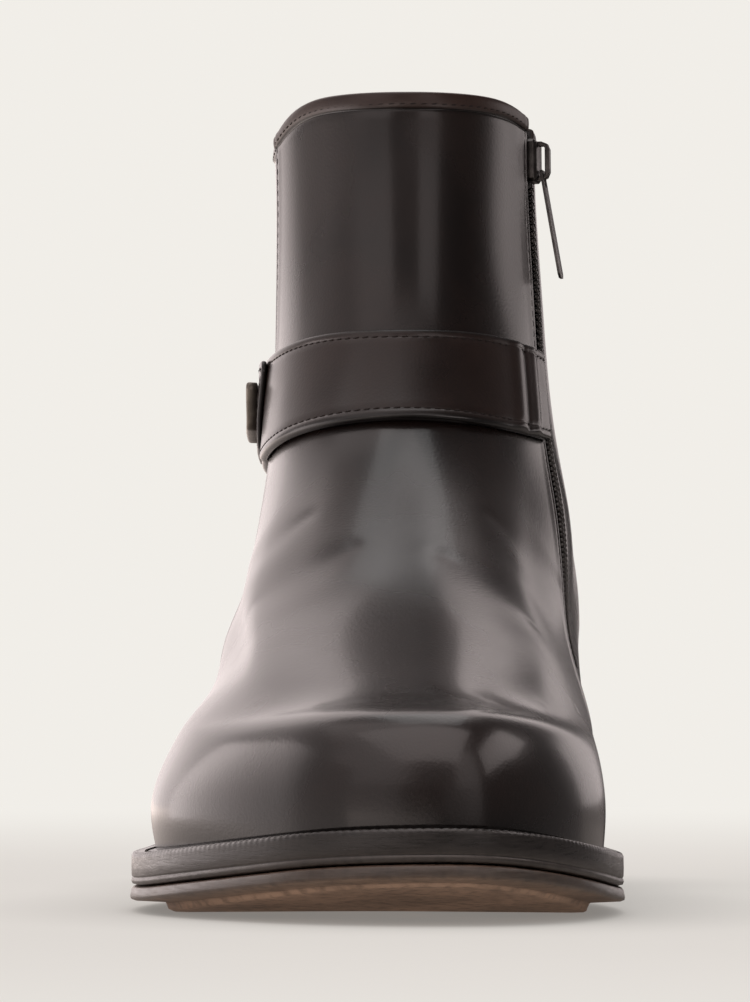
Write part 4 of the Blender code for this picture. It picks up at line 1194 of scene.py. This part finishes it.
@dataclass
class Strap:
    """Wrapped ankle strap with rounded painted edges, two stitch rows and a sewn end at the zip."""

    stitches: RowMaker
    front_end: float = -5.7
    back_end: float = 58.0
    columns: int = 420
    stitch_inset: float = 1.9
    stitch_pitch: float = 2.35
    stitch_size: Size = (1.7, 0.42, 0.32)
    stitch_slant: float = 0.1
    ridge_turns: tuple[float, float] = (-47.0, -57.0)
    row_turn: float = -52.0

    def ends(self) -> tuple[float, float]:
        """Angles of the strap's two ends."""
        row = FORM.ring_s[7]
        first = FORM.seam(row, self.front_end, Side.MEDIAL) - TURN
        return float(first), float(FORM.seam(row, self.back_end, Side.MEDIAL))

    def place(
        self, angle: np.ndarray, from_low: float | None, from_high: float | None, out: Values,
    ) -> tuple[np.ndarray, np.ndarray]:
        """Points on the strap and their outward directions.

        Args:
            angle: angles round the shaft.
            from_low: mm above the lower edge, or None.
            from_high: mm below the upper edge, or None. The middle where both are None.
            out: mm off the strap's underside.

        Returns:
            Points and unit directions.
        """
        low, high = (curve(*edge, np.degrees(angle)) for edge in (STRAP_LOW, STRAP_HIGH))
        z = (low + high) / 2
        if from_low is not None:
            z = low + from_low
        elif from_high is not None:
            z = high - from_high
        s = FORM.level(angle, z)
        n = FORM.normal(s, angle)
        lift = FORM.strap_base(s, angle) + out
        return FORM.shell(s, angle) + n * lift[..., None], n

    def run(self, angle: np.ndarray) -> np.ndarray:
        """Distance of each angle from the front end, in mm."""
        line, _ = self.place(angle, None, None, FORM.strap_thick)
        return np.append(0.0, np.cumsum(np.linalg.norm(np.diff(line, axis=0), axis=1)))

    def build(self, finishes: Finishes) -> None:
        """Makes the strap and its stitches."""
        first, last = self.ends()
        near_end = np.linspace(first, first + 0.5, 60)
        angle = np.unique(np.concatenate((np.linspace(first, last, self.columns), near_end)))
        along, t = self.run(angle), FORM.strap_thick
        fold, rear, row = np.interp(np.radians((*self.ridge_turns, self.row_turn)), angle, along)
        ridge = 0.55 * hump(along, fold, 2.6) + 0.5 * hump(along, rear, 2.2) - 0.3 * hump(along, row, 1.0)
        tuck = 1 - 0.45 * np.exp(-along / 0.5) - 0.45 * np.exp(-(along[-1] - along) / 0.5)
        half = [
            (0.3, 0.0, 0), (0.0, 0.25, 0), (0.0, 0.62 * t, 0), (0.14, 0.84 * t, 0.4), (0.4, 0.96 * t, 0.8),
            (0.9, t + 0.04, 1), (1.5, t, 1), (1.7, t - 0.1, 1), (1.9, t - 0.16, 1), (2.1, t - 0.1, 1),
            (2.4, t, 1), (3.6, t + 0.04, 1), (6.0, t + 0.06, 1)]
        loop = [(e, None, out, f) for e, out, f in half] + [(None, None, t + 0.07, 1)]
        loop += [(None, e, out, f) for e, out, f in half[::-1]] + [(None, None, 0.0, 0)]
        rings = [
            self.place(angle, a, b, np.where(f > 0, out * tuck + ridge * f, out))[0] for a, b, out, f in loop]
        points = np.stack(rings, axis=1)
        faces = capped_faces(*points.shape[:2])
        rim = lambda a, b, out: out > t + 0.03 and (a or b or 9) < 1
        # Darkening mark: the strap's painted edges and rims, and a darker line along the sewn end's stitch
        # groove.
        edge_paint_and_shade = np.array([1.0 if f < 0.9 else 0.35 * rim(a, b, out) for a, b, out, f in loop])
        marks = np.clip(edge_paint_and_shade[None, :] + 0.6 * hump(along, row, 0.5)[:, None], 0, 1)
        obj = make_piece("ankle_strap", points.reshape(-1, 3), faces, (finishes.strap,), {"edge_paint_and_shade": marks})
        settle(obj, Body.BOOT, "strap_leather", "strap")
        inner = angle[(along > 2.0) & (along < along[-1] - 2.0)]
        seat, inset = t - 0.1, self.stitch_inset
        lines = [self.place(inner, inset, None, seat), self.place(inner, None, inset, seat)]
        turn = np.array([math.radians(self.row_turn)])
        up = [self.place(turn, mm, None, seat - 0.25) for mm in np.linspace(2.6, 17.6, 24)]
        lines.append((np.concatenate([p for p, _ in up]), np.concatenate([n for _, n in up])))
        sewn = self.stitches.run(
            "strap_stitches", lines, finishes.thread, self.stitch_pitch, self.stitch_size, self.stitch_slant)
        settle(sewn, Body.BOOT, "strap_leather")


def softened(node: str, name: str, material: Material, width: float) -> Object:
    """A copy of a CAD node with its sharp edges rounded.

    Args:
        node: the CAD node.
        name: name of the new piece.
        material: its finish.
        width: width of the rounding in mm.

    Returns:
        The piece, not yet riding a body.
    """
    form = bmesh.new()
    form.from_mesh(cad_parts[node].data)
    bmesh.ops.remove_doubles(form, verts=form.verts, dist=WELD)
    bmesh.ops.dissolve_limit(form, angle_limit=FLAT_TURN, verts=form.verts, edges=form.edges)
    sharp = [e for e in form.edges if len(e.link_faces) == 2 and e.calc_face_angle(0) > EDGE_TURN]
    bmesh.ops.bevel(form, geom=sharp, offset=width * MM, offset_type="OFFSET", segments=3, profile=0.6,
                    affect="EDGES", clamp_overlap=True)
    bmesh.ops.recalc_face_normals(form, faces=form.faces)
    mesh = bpy.data.meshes.new(name)
    form.to_mesh(mesh)
    form.free()
    mesh.materials.append(material)
    mesh.polygons.foreach_set("material_index", np.zeros(len(mesh.polygons), np.int32))
    mesh.polygons.foreach_set("use_smooth", np.ones(len(mesh.polygons), bool))
    mesh.set_sharp_from_angle(angle=SHADE_TURN)
    return placed(name, mesh)


@dataclass
class Zip:
    """Side zip: woven tape, two rows of metal teeth, slider and hinged pull tab."""

    teeth: RowMaker
    tape_half: float = 4.3
    tape_thick: float = 0.6
    tape_rows: int = 130
    slider_low: float = 164.2
    tooth_pitch: float = 1.7
    tooth_out: float = -0.35
    tooth_side: float = 0.95
    tooth_size: Size = (1.0, 2.3, 1.25)

    def tape(self, finishes: Finishes) -> Object:
        """Makes the woven tape on the channel's floor."""
        s = np.linspace(FORM.zip_end + 1.2, FORM.top - 0.8, self.tape_rows)[:, None]
        across = np.linspace(-self.tape_half, self.tape_half, 7)[None, :]
        s, across = np.broadcast_arrays(s, across)
        angle = FORM.seam(s, across, Side.MEDIAL)
        low = FORM.gap - FORM.zip_floor
        grids = [FORM.skin(s, angle, low + self.tape_thick), FORM.skin(s, angle, low)[:, ::-1]]
        points = np.concatenate(grids, axis=1)
        faces = capped_faces(*points.shape[:2])
        return make_piece("zip_tape_weave", points.reshape(-1, 3), faces, (finishes.tape,))

    def build(self, finishes: Finishes) -> None:
        """Makes the tape, the teeth, the slider and the pull."""
        settle(self.tape(finishes), Body.BOOT, "zip_fabric", "zip_tape")
        heights = np.linspace(FORM.zip_end, FORM.top - 4, 400)
        spots = FORM.shell(heights, FORM.seam(heights, 0.0, Side.MEDIAL))[:, 2]
        end = float(np.interp(self.slider_low, spots, heights))
        lines = []
        for side in (-1, 1):
            shift = self.tooth_pitch * 0.25 * side
            s = np.linspace(FORM.zip_end + 2.4 + shift, end + shift - 0.4, 300)
            angle = FORM.seam(s, side * self.tooth_side, Side.MEDIAL)
            lines.append((FORM.skin(s, angle, self.tooth_out), FORM.normal(s, angle)))
        teeth = self.teeth.run("zip_teeth", lines, finishes.gunmetal, self.tooth_pitch, self.tooth_size)
        settle(teeth, Body.BOOT, "zip_metal", "zip_chain")
        slider = softened("zip_slider", "zip_slider_body", finishes.gunmetal, 0.28)
        settle(slider, Body.BOOT, "zip_metal", "zip_slider")
        pull = softened("zip_pull", "zip_pull_tab", finishes.gunmetal, 0.22)
        settle(pull, Body.PULL, "zip_metal", "zip_pull")


@dataclass
class Buckle:
    """Leather plate with a plain rectangular metal frame and prong on the lateral side of the strap."""

    stitches: RowMaker
    middle_t: float = 74.5
    middle_z: float = 111.4
    slope: float = 0.12
    plate: Size = (30.0, 20.5, 3.0)
    plate_thick: float = 1.2
    frame_size: Size = (22.0, 11.4, 2.0)
    frame_bar: float = 2.4
    frame_thick: float = 2.6
    stitch_inset: float = 1.7
    stitch_pitch: float = 2.3
    stitch_size: Size = (1.75, 0.46, 0.4)

    def on_strap(self, along: np.ndarray, high: np.ndarray, out: Values) -> tuple[np.ndarray, np.ndarray]:
        """Points off the strap's outer face, and their outward directions, from the buckle's middle."""
        t = self.middle_t - along
        z = self.middle_z + high - self.slope * along
        angle = np.full(np.shape(along), math.pi / 2)
        for _ in range(6):
            s = FORM.level(angle, z)
            ends = curve(FORM.ring_s, RING_LINES[:, [0, 2]], s)
            angle = np.arccos(1 - 2 * (ends[..., 0] - t) / (ends[..., 0] - ends[..., 1]))
        n = FORM.normal(s, angle)
        lift = FORM.strap_base(s, angle) + FORM.strap_thick + out
        return FORM.shell(s, angle) + n * lift[..., None], n

    def loop(self, size: Size, inset: float, out: float) -> tuple[np.ndarray, np.ndarray]:
        """A rounded rectangle on the strap, drawn in by an inset."""
        length, height = size[0] - 2 * inset, size[1] - 2 * inset
        corner = max(size[2] - inset, 0.35)
        line = []
        for quarter in range(4):
            x = (length / 2 - corner) * (1 if quarter in (0, 3) else -1)
            y = (height / 2 - corner) * (1 if quarter < 2 else -1)
            turns = math.pi / 2 * (quarter + np.linspace(0, 1, 7))
            line += [(x + corner * math.cos(a), y + corner * math.sin(a)) for a in turns]
            end = line[-1]
            far = (-x, end[1]) if quarter in (0, 2) else (end[0], -y)
            line += [
                (end[0] + (far[0] - end[0]) * k / 9, end[1] + (far[1] - end[1]) * k / 9) for k in range(1, 9)]
        line = np.array(line)
        return self.on_strap(line[:, 0], line[:, 1], out)

    def build(self, finishes: Finishes) -> None:
        """Makes the plate with its stitches, the frame and the prong."""
        g, thick = FORM.gap, self.plate_thick
        high = g + thick
        shape = (
            (0.25, g), (0.0, g + 0.3), (0.0, g + thick * 0.65), (0.12, g + thick * 0.88), (0.45, high),
            (1.3, high), (1.7, high - 0.14), (2.1, high), (4.0, high), (8.0, high), (11.4, high))
        rings = [self.loop(self.plate, inset, out)[0] for inset, out in shape]
        faces = capped_faces(len(rings), len(rings[0]))
        # Darkening mark: the plate's painted edge, and a darker line in its groove.
        edge_paint_and_shade = {"edge_paint_and_shade": np.repeat([1, 1, 1, 0.9, 0.5, 0.2, 0.5, 0, 0, 0, 0], len(rings[0]))}
        plate = make_piece("buckle_plate_hide", np.concatenate(rings), faces, (finishes.plate,), edge_paint_and_shade)
        settle(plate, Body.BOOT, "plate_leather", "buckle_plate")
        line = self.loop(self.plate, self.stitch_inset, high - 0.05)
        row = self.stitches.run(
            "plate_stitches", [line], finishes.thread, self.stitch_pitch, self.stitch_size)
        settle(row, Body.BOOT, "plate_leather")
        low, bar = high + g, self.frame_bar
        high = low + self.frame_thick
        bevel = ((0.0, low + 0.15), (0.0, high - 0.7), (0.1, high - 0.35), (0.35, high - 0.1), (0.7, high),
                 (bar - 0.7, high), (bar - 0.35, high - 0.1), (bar - 0.1, high - 0.35), (bar, high - 0.7),
                 (bar, low + 0.15), (bar - 0.2, low), (0.2, low))
        rings = [self.loop(self.frame_size, inset, out)[0] for inset, out in bevel]
        faces = grid_faces(len(rings), len(rings[0]), True, True)
        ring = make_piece("buckle_frame_bar", np.concatenate(rings), faces, (finishes.taupe_metal,))
        settle(ring, Body.BOOT, "buckle_metal", "buckle_frame")
        prong = softened("buckle_prong", "buckle_prong_bar", finishes.taupe_metal, 0.3)
        settle(prong, Body.BOOT, "buckle_metal", "buckle_prong")


class Axis(Enum):
    """The axis that a card stands across."""

    X = 0
    Y = 1
    Z = 2


@dataclass(frozen=True)
class Card:
    """A flat card near the boot that only its gloss sees, a painted reflection that is no lamp: where it
    stands, its outline and its light.

    The light runs from the toe's end to the heel's end, and is 0 for a black flag.
    """

    name: str
    across: Axis
    at: float
    outline: Pairs
    glow: tuple[float, float]

    def corners(self) -> list[list[float]]:
        """Its outline in the part's frame."""
        return [np.insert(pair, self.across.value, self.at).tolist() for pair in np.array(self.outline)]


@dataclass
class Studio:
    """Pale sweep, soft lights and the camera at the photograph's angle."""

    eye: Size = (0.06157, -1.55281, 0.057)
    look: Size = (-0.04154, 1.0, 0.02077)
    lens: float = 249.0
    sensor: float = 36.0
    sight: float = 50.0
    paper: Colour = (0.88, 0.855, 0.81)
    floor_radius: float = 12.0
    floor_drop: float = 0.0002
    lamp_tint: Colour = (1.0, 0.885, 0.865)
    lamp_place: Size = (0.0, 0.36, 1.15)
    lamp_aim: Size = (0.0, 0.0, 0.05)
    lamp_size: tuple[float, float] = (0.55, 0.75)
    lamp_watts: float = 1.2
    low_light: Pairs = (
        (-180, 1.4), (-160, 1.6), (-145, 1.6), (-139, 1.2), (-129, 0.3), (-112, 0.4), (-105, 0.5), (-95, 0.5),
        (-60, 0.6), (-40, 0.5), (-28, 0.5), (-20, 0.06), (-4, 0.06), (6, 0.3), (42, 0.5), (54, 0.08),
        (100, 0.08), (111, 0.18), (119, 1.0), (126, 1.25), (138, 0.7), (161, 0.85), (166, 0.8), (180, 1.0))
    wall_light: Pairs = (
        (-180, 1.0), (-166, 1.25), (-150, 1.3), (-138, 0.8), (-120, 0.45), (-89, 0.45), (-60, 0.8),
        (-26, 0.85), (-14, 0.2), (8, 0.2), (17, 0.8), (42, 0.75), (52, 0.1), (85, 0.06), (140, 0.1),
        (152, 0.12), (159, 0.12), (163, 0.7), (168, 1.3), (180, 1.3))
    ceiling_light: Pairs = (
        (-180, 0.65), (-170, 0.6), (-163, 0.25), (-150, 0.25), (-138, 0.4), (-120, 0.9), (-60, 0.7),
        (-20, 0.7), (0, 0.5), (40, 0.25), (60, 0.1), (130, 0.1), (148, 0.2), (156, 0.6), (168, 0.65),
        (180, 0.65))
    walls_from: tuple[float, float] = (0.2, 0.3)
    ceiling_from: tuple[float, float] = (0.68, 0.80)
    ramp_scale: float = 0.4
    floor_take: float = 0.4
    floor_glow: float = 0.62
    floor_shade: float = 0.22
    floor_fade: tuple[float, float] = (0.15, 0.9)
    floor_bounce: tuple[float, float] = (2.2, 0.14)
    bounce_span: tuple[float, float] = (-0.24, -0.02)
    shadow_reach: float = 0.05
    glow_span: tuple[float, float] = (-0.13, 0.06)
    # Cards seen only in the boot's gloss: painted reflections of bright panels and black flags.
    cards: tuple[Card, ...] = (
        Card("back_flag", Axis.Y, 0.19,
             ((0.05, 0.0), (0.083, 0.0), (0.083, 0.12), (0.07, 0.2), (0.05, 0.2)), (0.0, 0.0)),
        Card("side_flag", Axis.X, 0.125,
             ((-0.21, 0.0), (0.03, 0.0), (0.03, 0.13), (-0.02, 0.11), (-0.07, 0.08), (-0.13, 0.06),
              (-0.21, 0.05)), (0.1, 0.1)),
        Card("left_card", Axis.X, -0.22,
             ((-0.32, 0.0), (0.12, 0.0), (0.12, 0.17), (-0.32, 0.17)), (0.45, 2.6)),
        Card("right_card", Axis.X, 0.14,
             ((-0.21, 0.085), (-0.09, 0.09), (-0.035, 0.11), (-0.035, 0.17), (-0.21, 0.17)), (1.5, 1.5)),
        Card("toe_card", Axis.Z, 0.2,
             ((-0.1, -0.36), (0.09, -0.36), (0.09, -0.14), (-0.1, -0.14)), (1.5, 1.5)),
    )

    def band(self, desk: NodeDesk, share: NodeSocket, stops: Pairs) -> NodeSocket:
        """Light round one height band of the room.

        Args:
            desk: the world's desk.
            share: place round the room from 0 to 1.
            stops: degrees from the camera's side, positive to the right, and the light there.

        Returns:
            Its colour, scaled down to fit a ramp.
        """
        ramp = desk.add("ShaderNodeValToRGB", {0: share})
        ramp.color_ramp.interpolation = "EASE"
        places = ramp.color_ramp.elements
        while len(places) < len(stops):
            places.new(1.0)
        for place, (degrees, light) in zip(places, stops):
            place.position = (degrees + 180.0) / 360.0
            place.color = (*(c * light * self.ramp_scale for c in self.lamp_tint), 1.0)
        return ramp.outputs[0]

    def sky(self) -> None:
        """Sets the pale sweep that the camera sees and the walls and ceiling that light the boot."""
        world = bpy.data.worlds.new("studio_sweep")
        bpy.context.scene.world = world
        world.use_nodes = True
        desk = NodeDesk(world.node_tree)
        parts = desk.add("ShaderNodeSeparateXYZ", {0: desk.add("ShaderNodeTexCoord").outputs["Generated"]})
        ahead = desk.maths("MULTIPLY", parts.outputs["Y"], -1.0)
        turn = desk.maths("ARCTAN2", parts.outputs["X"], ahead)
        share = desk.spread(turn, -math.pi, math.pi, 0.0, 1.0)
        bands = (self.low_light, self.wall_light, self.ceiling_light)
        room, walls, ceiling = (self.band(desk, share, stops) for stops in bands)
        for start, light in ((self.walls_from, walls), (self.ceiling_from, ceiling)):
            room = desk.blend(desk.soft_step(parts.outputs["Z"], *start), room, light)
        bright = desk.vector("SCALE", {0: room, "Scale": 1.0 / self.ramp_scale})
        seen = desk.add("ShaderNodeLightPath").outputs["Is Camera Ray"]
        glow = {"Color": desk.blend(seen, bright, self.paper), "Strength": 1.0}
        desk.fill(world.node_tree.nodes["Background"], glow)

    def floor(self) -> None:
        """Makes the floor, which glows with the sweep's colour and fades to the sweep's own light with
        distance; its glow carries a painted contact shadow near the boot, and in reflections it is painted
        brighter on the left.
        """
        material, desk, surface, place = new_material("studio_floor")
        parts = desk.add("ShaderNodeSeparateXYZ", {0: place})
        flat = desk.add("ShaderNodeCombineXYZ", {0: parts.outputs[0], 1: parts.outputs[1]})
        far = desk.soft_step(desk.vector("LENGTH", {0: flat.outputs[0]}), *self.floor_fade)
        grain = desk.group(EFFECTS.clouds, Vector=place, Scale=6.0)[0]
        tinted = lambda share: tuple(c * share for c in self.paper)
        tone = desk.blend(grain, tinted(self.floor_take * 0.98), tinted(self.floor_take))
        # Painted contact shadow: the glow near the boot is darkened by ambient occlusion, from floor_glow
        # down to floor_shade.
        reach = {"Distance": self.shadow_reach}
        open_share = desk.add("ShaderNodeAmbientOcclusion", reach, samples=12).outputs["AO"]
        near = desk.blend(open_share, tinted(self.floor_shade), tinted(self.floor_glow))
        own = desk.blend(far, near, self.paper)
        path = desk.add("ShaderNodeLightPath").outputs
        # Painted light for glossy rays: the floor's glow is scaled up on the left side and down on the right;
        # camera and diffuse rays see it unscaled.
        bounce = desk.spread(parts.outputs[0], *self.bounce_span, *self.floor_bounce)
        warm = desk.vector("MULTIPLY", {0: own, 1: self.lamp_tint})
        dim = desk.vector("SCALE", {0: warm, "Scale": bounce})
        plain = desk.maths("MAXIMUM", path["Is Camera Ray"], path["Is Diffuse Ray"])
        desk.fill(surface, {
            "Base Color": desk.blend(far, tone, (0.0, 0.0, 0.0)),
            "Emission Color": desk.blend(plain, dim, own), "Emission Strength": 1.0,
            "Roughness": 0.9, "Specular IOR Level": 0.0})
        sheet = bmesh.new()
        bmesh.ops.create_circle(sheet, cap_ends=True, radius=self.floor_radius, segments=96)
        mesh = bpy.data.meshes.new("studio_floor")
        sheet.to_mesh(mesh)
        sheet.free()
        mesh.materials.append(material)
        floor = placed("studio_floor", mesh)
        floor.location.z = -self.floor_drop
        floor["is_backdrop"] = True

    def hang(self, card: Card) -> None:
        """Makes one card: a painted reflection that glows, black where its light is 0."""
        material, desk, surface, place = new_material(f"{card.name}_cloth")
        along = desk.add("ShaderNodeSeparateXYZ", {0: place}).outputs["Y"]
        level = desk.spread(along, *self.glow_span, *card.glow)
        desk.fill(surface, {
            "Emission Color": desk.vector("SCALE", {0: self.lamp_tint, "Scale": level}),
            "Emission Strength": 1.0, "Base Color": (0.004, 0.004, 0.004, 1.0),
            "Roughness": 1.0, "Specular IOR Level": 0.0})
        mesh = bpy.data.meshes.new(card.name)
        corners = card.corners()
        mesh.from_pydata(corners, [], [range(len(corners))])
        mesh.materials.append(material)
        reflection_card = placed(card.name, mesh)
        reflection_card.visible_camera = reflection_card.visible_shadow = reflection_card.visible_diffuse = False
        reflection_card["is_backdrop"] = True

    def aimed(self, name: str, data: bpy.types.ID, place: Size, along: Vector) -> Object:
        """A lamp or camera at a place that looks along a direction."""
        obj = placed(name, data)
        obj.location = place
        obj.rotation_euler = along.to_track_quat("-Z", "Y").to_euler()
        return obj

    def build(self) -> None:
        """Sets the sweep, the lights and the camera."""
        self.sky()
        self.floor()
        for card in self.cards:
            self.hang(card)
        light = bpy.data.lights.new("top_box", "AREA")
        light.shape, light.energy = "RECTANGLE", self.lamp_watts
        light.size, light.size_y = self.lamp_size
        self.aimed("top_box", light, self.lamp_place, Vector(self.lamp_aim) - Vector(self.lamp_place))
        view = bpy.data.cameras.new("photo_camera")
        view.lens, view.sensor_width, view.clip_end = self.lens, self.sensor, self.sight
        scene = bpy.context.scene
        scene.camera = self.aimed("photo_camera", view, self.eye, Vector(self.look))
        scene.view_settings.view_transform = "Standard"
        scene.view_settings.look = "None"


def main() -> None:
    """Builds the boot's sub-assemblies and the studio."""
    logging.basicConfig(level=logging.INFO, format="%(name)s %(message)s")
    plain = lambda box: [[float(v) for v in corner] for corner in box]
    solid_box = plain(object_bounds())
    finishes = Finishes()
    stitches, teeth = RowMaker(RowMaker.Shape.STITCH), RowMaker(RowMaker.Shape.TOOTH)
    Upper(stitches).build(finishes)
    Sole(stitches).build(finishes)
    Strap(stitches).build(finishes)
    Zip(teeth).build(finishes)
    Buckle(stitches).build(finishes)
    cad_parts["insole"].material_slots[0].material = finishes.lining
    Studio().build()
    bpy.context.view_layer.update()
    {"cad": solid_box, "visual": plain(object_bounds())}


if __name__ == "__main__":
    main()
